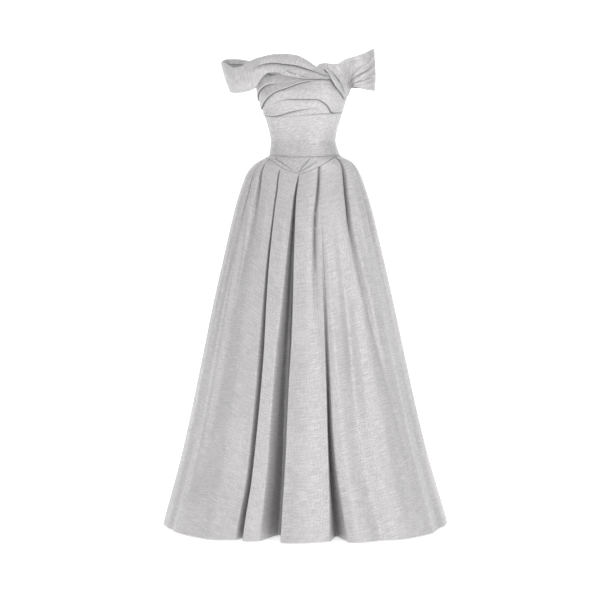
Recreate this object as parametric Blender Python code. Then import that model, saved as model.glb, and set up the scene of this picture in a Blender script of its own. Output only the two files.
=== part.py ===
# Off-shoulder evening dress, worn form with no wearer: draped bust, twisted shoulder bands,
# basque yoke and a floor-length pleated skirt, closed by a concealed zip at the centre back.
#
# Metres, +Z up. The origin is the centre of the waist, where the wearer's body holds the dress.
# The front faces -Y. Angles run round the body in degrees: 0 is the centre front, +90 the +X side,
# 180 the centre back. "left" and "right" are as seen from the front, so left is the -X side.

import math

import bmesh
import bpy
import numpy as np

# Driving sizes
CLOTH = 0.002             # wall of the folded and interlined cloth
SEAM_GAP = 0.0003         # between two pieces at a seam
ZIP_GAP = 0.0010          # between the two edges that the zip joins
HEM_Z = -1.184            # the hem, below the waist
ZIP_BOTTOM_Z = -0.165
ZIP_TOP_Z = 0.132
TAPE_WIDTH, TAPE, TAPE_GAP = 0.024, 0.001, 0.0006
BACK_FACE_Y = 0.0948      # the outside of the back where the slider sits
PULL_AXIS_Z = 0.1180      # the bar that the zip's tab turns on
PULL_AXIS_Y = 0.0984
PULL_THICK = 0.0011


def table(columns, *rows):
    """Rows of numbers as a dictionary of arrays, one for each named column."""
    return {name: np.array(values, float) for name, values in zip(columns.split(), zip(*rows))}


# The body's rings, hem to neck: half width, depth of the front and back halves, how far the
# ring's centre lies to the right, and its squareness (1 is an ellipse, less is squarer).
BODY = table(
    "z side front back shift square",
    (-1.184, 0.4460, 0.4160, 0.4450, 0.0080, 0.78),
    (-1.090, 0.4180, 0.3900, 0.4150, 0.0070, 0.79),
    (-0.994, 0.3910, 0.3640, 0.3870, 0.0060, 0.81),
    (-0.842, 0.3545, 0.3250, 0.3450, 0.0045, 0.83),
    (-0.690, 0.3215, 0.2850, 0.3050, 0.0030, 0.85),
    (-0.539, 0.2895, 0.2430, 0.2650, 0.0020, 0.87),
    (-0.387, 0.2560, 0.2025, 0.2260, 0.0012, 0.89),
    (-0.273, 0.2300, 0.1700, 0.1960, 0.0010, 0.90),
    (-0.197, 0.2115, 0.1450, 0.1750, 0.0010, 0.91),
    (-0.160, 0.2000, 0.1310, 0.1620, 0.0010, 0.92),
    (-0.122, 0.1870, 0.1160, 0.1480, 0.0010, 0.92),
    (-0.096, 0.1755, 0.1070, 0.1370, 0.0016, 0.92),
    (-0.084, 0.1672, 0.1040, 0.1290, 0.0030, 0.92),
    (-0.071, 0.1562, 0.1010, 0.1190, 0.0045, 0.92),
    (-0.059, 0.1390, 0.0980, 0.1080, 0.0058, 0.92),
    (-0.050, 0.1210, 0.0955, 0.0980, 0.0060, 0.92),
    (-0.043, 0.1110, 0.0935, 0.0920, 0.0050, 0.92),
    (-0.034, 0.1082, 0.0915, 0.0885, 0.0040, 0.92),
    (-0.018, 0.1048, 0.0880, 0.0840, 0.0025, 0.92),
    (0.000, 0.1018, 0.0850, 0.0810, 0.0005, 0.92),
    (0.025, 0.1050, 0.0865, 0.0820, 0.0000, 0.92),
    (0.050, 0.1112, 0.0915, 0.0850, 0.0000, 0.92),
    (0.075, 0.1195, 0.1000, 0.0890, 0.0000, 0.92),
    (0.100, 0.1275, 0.1100, 0.0920, -0.0006, 0.92),
    (0.125, 0.1350, 0.1190, 0.0950, -0.0012, 0.92),
    (0.150, 0.1415, 0.1240, 0.0965, -0.0012, 0.92),
    (0.175, 0.1465, 0.1230, 0.0970, -0.0010, 0.92),
    (0.200, 0.1480, 0.1160, 0.0960, 0.0000, 0.92),
    (0.230, 0.1470, 0.1040, 0.0940, 0.0000, 0.92),
    (0.275, 0.1430, 0.0880, 0.0900, 0.0000, 0.92),
)

# The bust cups, as soft mounds on the front.
CUP_ANGLE, CUP_Z, CUP_RISE, CUP_SPREAD_DEG, CUP_SPREAD_Z = 36.0, 0.150, 0.007, 22.0, 0.045

# The skirt's pleats: where each lies at the waist, the hip and the hem, how deep it is at the hip
# and the hem, half its width in degrees, the share of that taken by each wall, and how far its
# bottom leans sideways under its neighbour, in degrees.
PLEATS = table(
    "waist hip hem hip_depth hem_depth half wall lean",
    (-158.0, -159.0, -160.0, 0.014, 0.075, 6.5, 0.9, 0.0),
    (-134.0, -134.0, -134.0, 0.014, 0.070, 6.5, 1.0, 2.5),
    (-112.0, -110.0, -109.0, 0.012, 0.045, 6.5, 1.0, -1.5),
    (-64.0, -58.0, -64.0, 0.010, 0.003, 5.5, 1.0, 0.0),
    (-51.0, -43.5, -46.0, 0.015, 0.003, 4.4, 1.0, -1.6),
    (-25.5, -22.0, -19.8, 0.015, 0.060, 2.9, 1.0, 1.6),
    (-4.0, -6.3, -7.9, 0.018, 0.100, 3.3, 0.4, 0.0),
    (15.5, 10.8, 8.0, 0.016, 0.085, 3.2, 0.6, 1.4),
    (53.0, 37.0, 44.0, 0.015, 0.004, 4.6, 1.0, -1.6),
    (75.0, 67.0, 66.0, 0.009, 0.030, 11.0, 1.0, 0.0),
    (112.0, 110.0, 109.0, 0.012, 0.045, 6.5, 1.0, 1.5),
    (134.0, 134.0, 134.0, 0.014, 0.070, 6.5, 1.0, -2.5),
    (158.0, 159.0, 160.0, 0.014, 0.075, 6.5, 0.9, 0.0),
)
PLEAT_STEPS = (-1.0, -0.64, -0.3, 0.0, 0.3, 0.64, 1.0)   # across one pleat, in half widths
WIDEST_COLUMN = 11.0          # degrees between columns elsewhere
HIP_SHARE = 0.05              # share of the skirt's height over which the pleats fan out
PINCH_SHARE = 0.09            # how far down the skirt the tucks at the waist are deepest
SEAM_ANGLES = (-180.0, -90.0, 90.0, 180.0)
SKIRT_ROWS = (0.0, 0.013, 0.030, 0.052, 0.082, 0.125, 0.19, 0.29, 0.42, 0.58, 0.78, 1.0)

# Seams round the body: the waist, and the basque curve where the yoke meets the skirt front.
WAIST_SEAM = table(
    "angle z",
    (-180, -0.0430), (-135, -0.0450), (-90, -0.0465), (-45, -0.0477), (0, -0.0515), (45, -0.0470),
    (90, -0.0390), (135, -0.0415), (180, -0.0430))
BASQUE = table(
    "angle z",
    (-90, -0.0510), (-65, -0.0545), (-52, -0.0580), (-40, -0.0655), (-27, -0.0790), (-17, -0.0910),
    (-9, -0.1000), (-3, -0.1025), (3, -0.0980), (9, -0.0895), (16, -0.0795), (27, -0.0655),
    (37, -0.0565), (48, -0.0505), (62, -0.0470), (90, -0.0430))

# The bust drape's lines, at these angles from the left seam to the right: the underbust seam, then
# each fold's edge as heights and as how far it stands out over the cloth below, then the top.
FOLD_ANGLES = (-90, -75, -60, -45, -30, -15, 0, 15, 30, 45, 60, 75, 90)
UNDERBUST = (
    0.0790, 0.0780, 0.0745, 0.0715, 0.0722, 0.0732, 0.0748, 0.0775, 0.0795, 0.0815, 0.0845, 0.0870,
    0.0880)
FOLDS = (
    # the low fold that rises from the left seam
    ((0.0815, 0.0800, 0.0765, 0.0738, 0.0775, 0.0850, 0.0920, 0.0960, 0.0875, 0.0821, 0.0853,
      0.0878, 0.0888),
     (0.0020, 0.0030, 0.0040, 0.0040, 0.0040, 0.0035, 0.0022, 0.0006, 0, 0, 0, 0, 0)),
    # the low fold that falls to the underbust seam on the right
    ((0.0900, 0.0930, 0.1000, 0.1090, 0.1185, 0.1235, 0.1225, 0.1225, 0.1075, 0.0842, 0.0866,
      0.0890, 0.0900),
     (0, 0, 0, 0, 0.0006, 0.0024, 0.0036, 0.0040, 0.0040, 0.0034, 0.0010, 0, 0)),
    # the long fold from the left seam up to the twist
    ((0.0980, 0.1040, 0.1165, 0.1305, 0.1465, 0.1585, 0.1730, 0.1800, 0.1740, 0.1600, 0.1350,
      0.1150, 0.1080),
     (0.0030, 0.0040, 0.0042, 0.0042, 0.0040, 0.0040, 0.0034, 0.0010, 0, 0, 0, 0, 0)),
    # the short fold above it
    ((0.1240, 0.1435, 0.1555, 0.1665, 0.1715, 0.1760, 0.1820, 0.1870, 0.1830, 0.1720, 0.1600,
      0.1500, 0.1450),
     (0.0030, 0.0040, 0.0040, 0.0030, 0.0015, 0.0004, 0, 0, 0, 0, 0, 0, 0)),
)
NECK_TOP = (
    0.1720, 0.1790, 0.1860, 0.1930, 0.1970, 0.1990, 0.2000, 0.2000, 0.1990, 0.1960, 0.1900, 0.1820,
    0.1740)
BUST_STEPS = (0.0, 0.25, 0.60, 1.0)      # rows between two folds
BUST_COLUMNS = 33
BACK_ROWS, BACK_STEP = 10, 7.5           # rows, and degrees between columns
BACK_TOP = table("angle z", (90.0, 0.1740), (120.0, 0.1720), (150.0, 0.1740), (180.0, 0.1780))

# The shoulder bands, a row for each section from the twist round the arm to the centre back:
# the lower edge, the top edge, how far the middle stands out (crown), how far the rolled upper
# half stands out over the lower (lip), how deep the top edge is turned in (turn), and the least
# distance of the outer face from the body (stand).
LEFT_BAND = table(
    "low_x low_y low_z top_x top_y top_z crown lip turn stand",
    (0.0860, -0.1050, 0.1850, 0.0820, -0.1050, 0.1920, 0.0005, 0.0005, 0.001, 0.0110),
    (0.0660, -0.1120, 0.1842, 0.0620, -0.1110, 0.2045, 0.0015, 0.0025, 0.001, 0.0108),
    (0.0400, -0.1180, 0.1838, 0.0360, -0.1130, 0.2230, 0.0030, 0.0045, 0.002, 0.0104),
    (0.0100, -0.1210, 0.1838, 0.0100, -0.1120, 0.2410, 0.0050, 0.0060, 0.008, 0.0080),
    (-0.0220, -0.1190, 0.1865, -0.0200, -0.1090, 0.2550, 0.0060, 0.0065, 0.016, 0.0050),
    (-0.0550, -0.1130, 0.1930, -0.0560, -0.1050, 0.2590, 0.0060, 0.0060, 0.020, 0.0045),
    (-0.0840, -0.1010, 0.2045, -0.0900, -0.0980, 0.2590, 0.0060, 0.0050, 0.020, 0.0045),
    (-0.1060, -0.0900, 0.2045, -0.1220, -0.0890, 0.2535, 0.0060, 0.0030, 0.018, 0.0045),
    (-0.1260, -0.0850, 0.1900, -0.1480, -0.0810, 0.2475, 0.0070, 0.0010, 0.016, 0.0072),
    (-0.1480, -0.0750, 0.1600, -0.1720, -0.0750, 0.2360, 0.0070, 0.0000, 0.014, 0.0072),
    (-0.1730, -0.0690, 0.1500, -0.1940, -0.0710, 0.2240, 0.0060, 0.0000, 0.012, 0.0072),
    (-0.1950, -0.0600, 0.1465, -0.2160, -0.0620, 0.2210, 0.0050, 0.0000, 0.012, 0.0072),
    (-0.2140, -0.0400, 0.1470, -0.2400, -0.0420, 0.2350, 0.0040, 0.0000, 0.012, 0.0072),
    (-0.2280, 0.0000, 0.1530, -0.2570, 0.0000, 0.2450, 0.0030, 0.0000, 0.012, 0.0072),
    (-0.2180, 0.0450, 0.1640, -0.2450, 0.0450, 0.2570, 0.0040, 0.0000, 0.012, 0.0072),
    (-0.1840, 0.0710, 0.1700, -0.2050, 0.0720, 0.2600, 0.0050, 0.0000, 0.014, 0.0072),
    (-0.1520, 0.0830, 0.1720, -0.1700, 0.0850, 0.2550, 0.0050, 0.0000, 0.014, 0.0072),
    (-0.1180, 0.0820, 0.1670, -0.1280, 0.0880, 0.2410, 0.0050, 0.0000, 0.014, 0.0030),
    (-0.0800, 0.0870, 0.1590, -0.0860, 0.0940, 0.2260, 0.0050, 0.0000, 0.014, 0.0030),
    (-0.0400, 0.0965, 0.1500, -0.0420, 0.1010, 0.2130, 0.0040, 0.0000, 0.014, 0.0030),
    (-0.0005, 0.0993, 0.1450, -0.0005, 0.1030, 0.2080, 0.0030, 0.0000, 0.014, 0.0030),
)
RIGHT_BAND = table(
    "low_x low_y low_z top_x top_y top_z crown lip turn stand",
    (0.0420, -0.1060, 0.1930, 0.0340, -0.1010, 0.2130, 0.0000, 0.0000, 0.006, 0.0036),
    (0.0620, -0.1030, 0.1980, 0.0470, -0.0990, 0.2285, 0.0000, 0.0000, 0.008, 0.0036),
    (0.0750, -0.1010, 0.1980, 0.0680, -0.0990, 0.2325, 0.0005, 0.0000, 0.012, 0.0038),
    (0.0880, -0.0980, 0.1840, 0.0880, -0.0970, 0.2300, 0.0015, 0.0000, 0.014, 0.0038),
    (0.1030, -0.0920, 0.1650, 0.1060, -0.0930, 0.2305, 0.0035, 0.0000, 0.014, 0.0031),
    (0.1180, -0.0740, 0.1445, 0.1230, -0.0860, 0.2400, 0.0050, 0.0000, 0.014, 0.0031),
    (0.1300, -0.0440, 0.1270, 0.1340, -0.0820, 0.2455, 0.0050, 0.0000, 0.014, 0.0031),
    (0.1400, -0.0300, 0.1390, 0.1430, -0.0800, 0.2495, 0.0050, 0.0000, 0.014, 0.0046),
    (0.1475, -0.0430, 0.1610, 0.1530, -0.0770, 0.2530, 0.0040, 0.0000, 0.012, 0.0046),
    (0.1600, -0.0600, 0.1640, 0.1680, -0.0730, 0.2580, 0.0030, 0.0000, 0.012, 0.0046),
    (0.1800, -0.0640, 0.1590, 0.1880, -0.0640, 0.2650, 0.0030, 0.0000, 0.012, 0.0046),
    (0.2010, -0.0520, 0.1555, 0.2095, -0.0450, 0.2765, 0.0030, 0.0000, 0.012, 0.0046),
    (0.2200, -0.0290, 0.1545, 0.2205, -0.0200, 0.2835, 0.0040, 0.0000, 0.012, 0.0046),
    (0.2250, 0.0000, 0.1570, 0.2195, 0.0060, 0.2830, 0.0050, 0.0000, 0.012, 0.0046),
    (0.2150, 0.0350, 0.1640, 0.2090, 0.0360, 0.2760, 0.0050, 0.0000, 0.012, 0.0046),
    (0.1930, 0.0650, 0.1710, 0.1880, 0.0680, 0.2670, 0.0050, 0.0000, 0.014, 0.0060),
    (0.1600, 0.0820, 0.1710, 0.1580, 0.0840, 0.2550, 0.0050, 0.0000, 0.014, 0.0070),
    (0.1220, 0.0820, 0.1660, 0.1210, 0.0880, 0.2400, 0.0050, 0.0000, 0.014, 0.0030),
    (0.0830, 0.0860, 0.1590, 0.0850, 0.0940, 0.2250, 0.0050, 0.0000, 0.014, 0.0030),
    (0.0410, 0.0965, 0.1500, 0.0420, 0.1010, 0.2130, 0.0040, 0.0000, 0.014, 0.0030),
    (0.0005, 0.0993, 0.1450, 0.0005, 0.1030, 0.2080, 0.0030, 0.0000, 0.014, 0.0030),
)
BAND_COLUMNS = 35
BAND_STEPS = (0.0, 0.16, 0.34, 0.52, 0.60, 0.65, 0.76, 0.90, 1.0)
GROOVE = 0.61                 # share of the band's height at which the rolled upper half starts
ROLL = 0.0056                 # depth of the turned top edge, outer face to outer face

# The fold that closes the twist: its two edges as angle and height, its distance from the body.
TWIST = table(
    "one_angle one_z two_angle two_z stand",
    (22.5, 0.2150, 24.5, 0.2175, 0.0072),
    (25.0, 0.2050, 29.0, 0.2100, 0.0126),
    (28.0, 0.1920, 33.5, 0.1995, 0.0148),
    (31.0, 0.1810, 38.5, 0.1870, 0.0146),
    (37.0, 0.1650, 46.0, 0.1680, 0.0095),
    (46.0, 0.1495, 56.0, 0.1480, 0.0072),
    (58.0, 0.1350, 66.0, 0.1370, 0.0072),
    (70.0, 0.1235, 73.0, 0.1285, 0.0066),
)


def along(x, knots, values):
    """A smooth curve through the knots, read at x. It doesn't overshoot."""
    knots, values = np.asarray(knots, float), np.asarray(values, float)
    widths = np.diff(knots)
    slopes = np.diff(values) / widths
    tangents = np.zeros(len(knots))
    tangents[0], tangents[-1] = slopes[0], slopes[-1]
    rising = slopes[:-1] * slopes[1:] > 0
    both = np.where(slopes[:-1] + slopes[1:] == 0, 1.0, slopes[:-1] + slopes[1:])
    tangents[1:-1] = np.where(rising, 2 * slopes[:-1] * slopes[1:] / both, 0.0)
    x = np.clip(x, knots[0], knots[-1])
    i = np.clip(np.searchsorted(knots, x, side="right") - 1, 0, len(widths) - 1)
    w = widths[i]
    t = (x - knots[i]) / w
    return (
        values[i] * (1 + 2 * t) * (1 - t) ** 2
        + values[i + 1] * (3 - 2 * t) * t ** 2
        + w * tangents[i] * t * (1 - t) ** 2
        - w * tangents[i + 1] * (1 - t) * t ** 2
    )


def ring(z):
    """The body's sizes at height z."""
    return {name: along(z, BODY["z"], BODY[name]) for name in BODY if name != "z"}


def power(value, exponent):
    return np.sign(value) * np.abs(value) ** exponent


def cups(degrees, z):
    across = np.exp(-(((np.abs(degrees) - CUP_ANGLE) / CUP_SPREAD_DEG) ** 2))
    return CUP_RISE * across * np.exp(-(((z - CUP_Z) / CUP_SPREAD_Z) ** 2))


def body(angle, z, out=0.0):
    """Points on the body's form, `out` metres outside it."""
    angle, z, out = np.broadcast_arrays(angle, np.asarray(z, float), out)
    turn = np.radians(angle)
    at = ring(z)
    raised = cups(angle, z)
    depth = np.where(np.cos(turn) > 0, at["front"], at["back"]) + out
    x = at["shift"] + (at["side"] + out) * power(np.sin(turn), at["square"])
    y = -depth * power(np.cos(turn), at["square"])
    return np.stack([x + raised * np.sin(turn), y - raised * np.cos(turn), z], axis=-1)


def stand_off(points, distance):
    """Points moved out, level, until they are at least this far outside the body."""
    x, y, z = (points[..., k] for k in range(3))
    at = ring(z)
    x = x - at["shift"]
    depth = np.where(y < 0, at["front"], at["back"])
    side_share = np.abs(x / at["side"]) ** (1 / at["square"])
    depth_share = np.abs(y / depth) ** (1 / at["square"])
    degrees = np.degrees(np.arctan2(side_share, depth_share))
    more = distance + cups(degrees, z) * (y < 0)
    level = (np.abs(x) / (at["side"] + more)) ** (2 / at["square"])
    level = level + (np.abs(y) / (depth + more)) ** (2 / at["square"])
    grow = np.maximum(1.0, level ** (-at["square"] / 2))
    return np.stack([x * grow + at["shift"], y * grow, z], axis=-1)


def waist_seam(angle):
    return along(angle, WAIST_SEAM["angle"], WAIST_SEAM["z"])


def basque(angle):
    return along(angle, BASQUE["angle"], BASQUE["z"])


def finish(name, bm, colour, smooth_below=40.0):
    """A named object from the mesh, facing out, shaded smooth but for its sharp edges."""
    bmesh.ops.recalc_face_normals(bm, faces=bm.faces)
    mesh = bpy.data.meshes.new(name)
    bm.to_mesh(mesh)
    bm.free()
    mesh.shade_smooth()
    mesh.set_sharp_from_angle(angle=math.radians(smooth_below))
    mesh.materials.append(colour)
    obj = bpy.data.objects.new(name, mesh)
    bpy.context.scene.collection.objects.link(obj)
    return obj


def shell(name, outer, inner, colour):
    """A closed wall between two grids of points, each rows x columns x 3."""
    rows, columns = outer.shape[:2]
    bm = bmesh.new()
    skins = [[[bm.verts.new(p) for p in row] for row in skin] for skin in (outer, inner)]
    for skin, step in ((skins[0], 1), (skins[1], -1)):
        for r in range(rows - 1):
            for c in range(columns - 1):
                corners = (skin[r][c], skin[r][c + 1], skin[r + 1][c + 1], skin[r + 1][c])
                bm.faces.new(corners[::step])
    rims = [[(r, c) for c in range(columns)] for r in (0, rows - 1)]
    rims += [[(r, c) for r in range(rows)] for c in (0, columns - 1)]
    for rim in rims:
        for (r, c), (rr, cc) in zip(rim, rim[1:]):
            bm.faces.new((skins[0][r][c], skins[1][r][c], skins[1][rr][cc], skins[0][rr][cc]))
    return finish(name, bm, colour)


def material(name, colour, roughness, metallic):
    made = bpy.data.materials.new(name)
    made.use_nodes = True
    shader = made.node_tree.nodes["Principled BSDF"]
    shader.inputs["Base Color"].default_value = (*colour, 1.0)
    shader.inputs["Roughness"].default_value = roughness
    shader.inputs["Metallic"].default_value = metallic
    return made


def part_seams(grid, angles):
    """Moves the end columns of a panel half a gap back from the seams that they lie on."""
    grid = grid.copy()
    for column in (0, -1):
        if abs(abs(angles[column]) - 90.0) < 1e-6:
            away = -1.0 if np.mean(np.abs(angles)) < 90 else 1.0
            grid[:, column, 1] = away * SEAM_GAP / 2
        elif abs(abs(angles[column]) - 180.0) < 1e-6:
            away = np.sign(np.mean(angles))
            gap = np.where(grid[:, column, 2] > ZIP_BOTTOM_Z, ZIP_GAP, SEAM_GAP)
            grid[:, column, 0] = away * gap / 2
    return grid


# Bodice

def panel(name, angles, bottom, top, rows, colour):
    """A plain fitted panel between two seams, each a height for every angle."""
    shares = np.linspace(0, 1, rows)[:, None]
    z = bottom[None, :] + shares * (top - bottom)[None, :]
    outer = part_seams(body(angles[None, :], z), angles)
    inner = part_seams(body(angles[None, :], z, -CLOTH), angles)
    return shell(name, outer, inner, colour)


def make_midriff(colour):
    angles = np.linspace(-90, 90, 25)
    bottom = waist_seam(angles) + SEAM_GAP / 2
    top = along(angles, FOLD_ANGLES, UNDERBUST) - SEAM_GAP / 2
    return panel("midriff_front", angles, bottom, top, 6, colour)


def make_backs(colour):
    for name, ends in (("back_left", (-180, -90)), ("back_right", (90, 180))):
        angles = np.arange(ends[0], ends[1] + 1, BACK_STEP)
        top = along(np.abs(angles), BACK_TOP["angle"], BACK_TOP["z"])
        panel(name, angles, waist_seam(angles) + SEAM_GAP / 2, top, BACK_ROWS, colour)


def make_bust(colour):
    """The bust drape: bands of cloth between fold lines, each overlapping the one below."""
    angles = np.linspace(-90, 90, BUST_COLUMNS)
    edges = [along(angles, FOLD_ANGLES, UNDERBUST) + SEAM_GAP / 2]
    edges += [along(angles, FOLD_ANGLES, heights) for heights, _ in FOLDS]
    edges.append(along(angles, FOLD_ANGLES, NECK_TOP))
    lifts = [np.zeros(BUST_COLUMNS)] + [along(angles, FOLD_ANGLES, lift) for _, lift in FOLDS]
    heights, outs = [], []
    for low, high, lift in zip(edges, edges[1:], lifts):
        step = np.minimum(0.0010, 0.3 * (high - low))
        if high is not edges[-1]:
            high = high - step
        for share in BUST_STEPS:
            heights.append(low + share * (high - low))
            outs.append(lift * (1 - share) ** 1.5)
    z = np.array(heights)
    outer = part_seams(body(angles[None, :], z, np.array(outs)), angles)
    inner = part_seams(body(angles[None, :], z, -CLOTH), angles)
    return shell("bust_front", outer, inner, colour)


# Skirt

def skirt_columns():
    """A row for each column of the skirt: its angle at the waist, the hip and the hem, how far
    down its pleat it lies from 0 to 1, and which pleat that is."""
    found = []
    for row, half in enumerate(PLEATS["half"]):
        for step in PLEAT_STEPS:
            inside = min(1.0, (1 - abs(step)) / PLEATS["wall"][row])
            found.append((PLEATS["waist"][row] + step * half * 0.8,
                          PLEATS["hip"][row] + step * half,
                          PLEATS["hem"][row] + step * half,
                          inside * inside * (3 - 2 * inside), row))
    found += [(angle, angle, angle, 0.0, 0) for angle in SEAM_ANGLES]
    found.sort(key=lambda column: column[2])
    filled = [found[0]]
    for column in found[1:]:
        before = filled[-1]
        extra = int((column[2] - before[2]) // WIDEST_COLUMN)
        for k in range(1, extra + 1):
            share = k / (extra + 1)
            between = [a + share * (b - a) for a, b in zip(before[:3], column[:3])]
            filled.append((*between, 0.0, 0))
        filled.append(column)
    return table("waist hip hem down pleat", *filled)


def skirt_rings(columns, tops):
    """Outer points of the skirt, one ring for each of SKIRT_ROWS."""
    t = np.array(SKIRT_ROWS)[:, None]
    pleat = columns["pleat"].astype(int)
    fan = 1 - np.exp(-t / HIP_SHARE)
    angle = columns["waist"] + (columns["hip"] - columns["waist"]) * fan
    angle = angle + (columns["hem"] - columns["hip"]) * t
    pinch = t / PINCH_SHARE * np.exp(1 - t / PINCH_SHARE)
    depth = PLEATS["hip_depth"][pleat] * pinch + PLEATS["hem_depth"][pleat] * t ** 1.15
    lean = PLEATS["lean"][pleat] * columns["down"] * np.clip(t / 0.1, 0, 1)
    z = tops + (HEM_Z - tops) * t
    points = body(angle + lean, z)
    inward = body(angle + lean, z, -0.05) - points
    inward /= np.linalg.norm(inward, axis=-1, keepdims=True)
    return points + inward * (depth * columns["down"])[..., None]


def ring_inner(rings):
    """The same rings moved in by the cloth's thickness, level, across the cloth."""
    run = np.zeros_like(rings)
    for step in (np.roll(rings, -1, axis=1) - rings, rings - np.roll(rings, 1, axis=1)):
        level = step * (1, 1, 0)
        run += level / np.linalg.norm(level, axis=-1, keepdims=True)
    run /= np.linalg.norm(run, axis=-1, keepdims=True)
    inward = np.stack([-run[..., 1], run[..., 0], np.zeros(run.shape[:2])], axis=-1)
    return rings + CLOTH * inward


def make_skirt(colour):
    columns = skirt_columns()
    whole = {name: values[:-1] for name, values in columns.items()}   # -180 and 180 are one column
    hem = np.append(whole["hem"], 180.0)
    for name, low, high in (("skirt_front", -90, 90), ("skirt_back_left", -180, -90),
                            ("skirt_back_right", 90, 180)):
        edge = basque if name == "skirt_front" else waist_seam
        outer = skirt_rings(whole, edge(whole["waist"]) - SEAM_GAP / 2)
        inner = ring_inner(outer)
        kept = (hem >= low) & (hem <= high)
        walls = [np.concatenate([skin, skin[:, :1]], axis=1)[:, kept] for skin in (outer, inner)]
        shell(name, *(part_seams(wall, hem[kept]) for wall in walls), colour)


def make_yoke(colour):
    columns = skirt_columns()
    front = (columns["hem"] >= -90) & (columns["hem"] <= 90)
    angles = columns["waist"][front]
    bottom = basque(angles) + SEAM_GAP / 2
    return panel("yoke_front", angles, bottom, waist_seam(angles) - SEAM_GAP / 2, 4, colour)


# Shoulder bands

def make_band(name, sections, side, colour):
    """A band of cloth round the arm with its top edge turned in. Side is -1 left, 1 right."""
    count = len(sections["low_x"])
    at = np.linspace(0, count - 1, BAND_COLUMNS)
    row = {key: along(at, np.arange(count), values) for key, values in sections.items()}
    low = np.stack([row["low_x"], row["low_y"], row["low_z"]], axis=-1)
    top = np.stack([row["top_x"], row["top_y"], row["top_z"]], axis=-1)
    path = np.gradient((low + top) / 2, axis=0)
    out = np.stack([side * path[:, 1], -side * path[:, 0], np.zeros(BAND_COLUMNS)], axis=-1)
    out /= np.linalg.norm(out, axis=-1, keepdims=True)
    out[-1] = (0.0, 1.0, 0.0)
    up = np.array((0.0, 0.0, 1.0))
    lipped = np.clip(row["lip"] / 0.004, 0, 1)
    outer, inner = [], []
    for share in BAND_STEPS:
        whole_crown = math.sin(math.pi * share) ** 0.8 if 0 < share < 1 else 0.0
        low_crown = math.sin(math.pi * share / GROOVE) ** 0.8 if 0 < share < GROOVE else 0.0
        over = 1 - 0.4 * ((share - GROOVE) / (1 - GROOVE)) ** 2 if share > GROOVE else 0.0
        raised = row["crown"] * (whole_crown + (low_crown - whole_crown) * lipped)
        raised = raised + row["lip"] * over
        points = low + share * (top - low) + raised[:, None] * out
        points = stand_off(points, row["stand"])
        outer.append(points)
        inner.append(points - CLOTH * out)
    edge = outer[-1]
    middle = edge - ROLL / 2 * out
    for degrees in (45, 90, 135):
        across, rise = math.cos(math.radians(degrees)), math.sin(math.radians(degrees))
        outer.append(middle + ROLL / 2 * (across * out + rise * up))
        inner.append(middle + (ROLL / 2 - CLOTH) * (across * out + rise * up))
    for share in (0.0, 1.0):
        down = -(row["turn"] * share)[:, None] * up
        outer.append(edge - ROLL * out + down)
        inner.append(edge - (ROLL - CLOTH) * out + down)
    return shell(name, np.array(outer), np.array(inner), colour)


def make_twist(colour):
    """The fold over the place where the bands cross, down to the right side seam."""
    count = len(TWIST["stand"])
    at = np.linspace(0, count - 1, 15)
    row = {key: along(at, np.arange(count), values) for key, values in TWIST.items()}
    outer, inner = [], []
    for share, raised in ((0.0, 0.0), (0.12, 0.0012), (0.4, 0.0020), (0.75, 0.0012), (1.0, 0.0)):
        angle = row["one_angle"] + share * (row["two_angle"] - row["one_angle"])
        z = row["one_z"] + share * (row["two_z"] - row["one_z"])
        outer.append(body(angle, z, row["stand"] + raised))
        inner.append(body(angle, z, row["stand"] - CLOTH))
    return shell("twist_fold", np.array(outer), np.array(inner), colour)


# Zip

def make_tape(colour):
    """The zip's tape behind the edges that it joins, on the back's and the skirt's points."""
    skirt = WAIST_SEAM["z"][0] + (HEM_Z - WAIST_SEAM["z"][0]) * np.array(SKIRT_ROWS[:0:-1])
    back = np.linspace(WAIST_SEAM["z"][0], BACK_TOP["z"][-1], BACK_ROWS)
    knots = np.concatenate([skirt, back])
    inside = (knots > ZIP_BOTTOM_Z) & (knots < ZIP_TOP_Z)
    z = np.concatenate([[ZIP_BOTTOM_Z], knots[inside], [ZIP_TOP_Z]])
    middle, beside = body(180.0, knots, -CLOTH), body(180.0 - BACK_STEP, knots, -CLOTH)
    slope = (beside[:, 1] - middle[:, 1]) / (beside[:, 0] - middle[:, 0])
    across = np.linspace(TAPE_WIDTH / 2, -TAPE_WIDTH / 2, 3)
    x = across[None, :] + 0 * z[:, None]
    y = np.interp(z, knots, middle[:, 1])[:, None] + np.interp(z, knots, slope)[:, None] * abs(x)
    outer = np.stack([x, y - TAPE_GAP, z[:, None] + 0 * x], axis=-1)
    return shell("zip_tape", outer, outer - (0, TAPE, 0), colour)


def block(bm, low, high):
    """A box from its lowest to its highest corner."""
    made = bmesh.ops.create_cube(bm, size=1.0)
    low, high = np.array(low), np.array(high)
    for vert in made["verts"]:
        vert.co = (low + high) / 2 + np.array(vert.co) * (high - low)


def join(name, boxes, colour):
    """Overlapping boxes as one closed body."""
    pieces = []
    for low, high in boxes:
        bm = bmesh.new()
        block(bm, low, high)
        pieces.append(finish(name, bm, colour, 30.0))
    whole = pieces[0]
    for piece in pieces[1:]:
        union = whole.modifiers.new("union", "BOOLEAN")
        union.operation = "UNION"
        union.solver = "EXACT"
        union.object = piece
    bpy.context.view_layer.update()
    merged = bpy.data.meshes.new_from_object(whole.evaluated_get(
        bpy.context.evaluated_depsgraph_get()))
    whole.modifiers.clear()
    whole.data = merged
    for piece in pieces[1:]:
        bpy.data.objects.remove(piece)
    return whole


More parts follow.
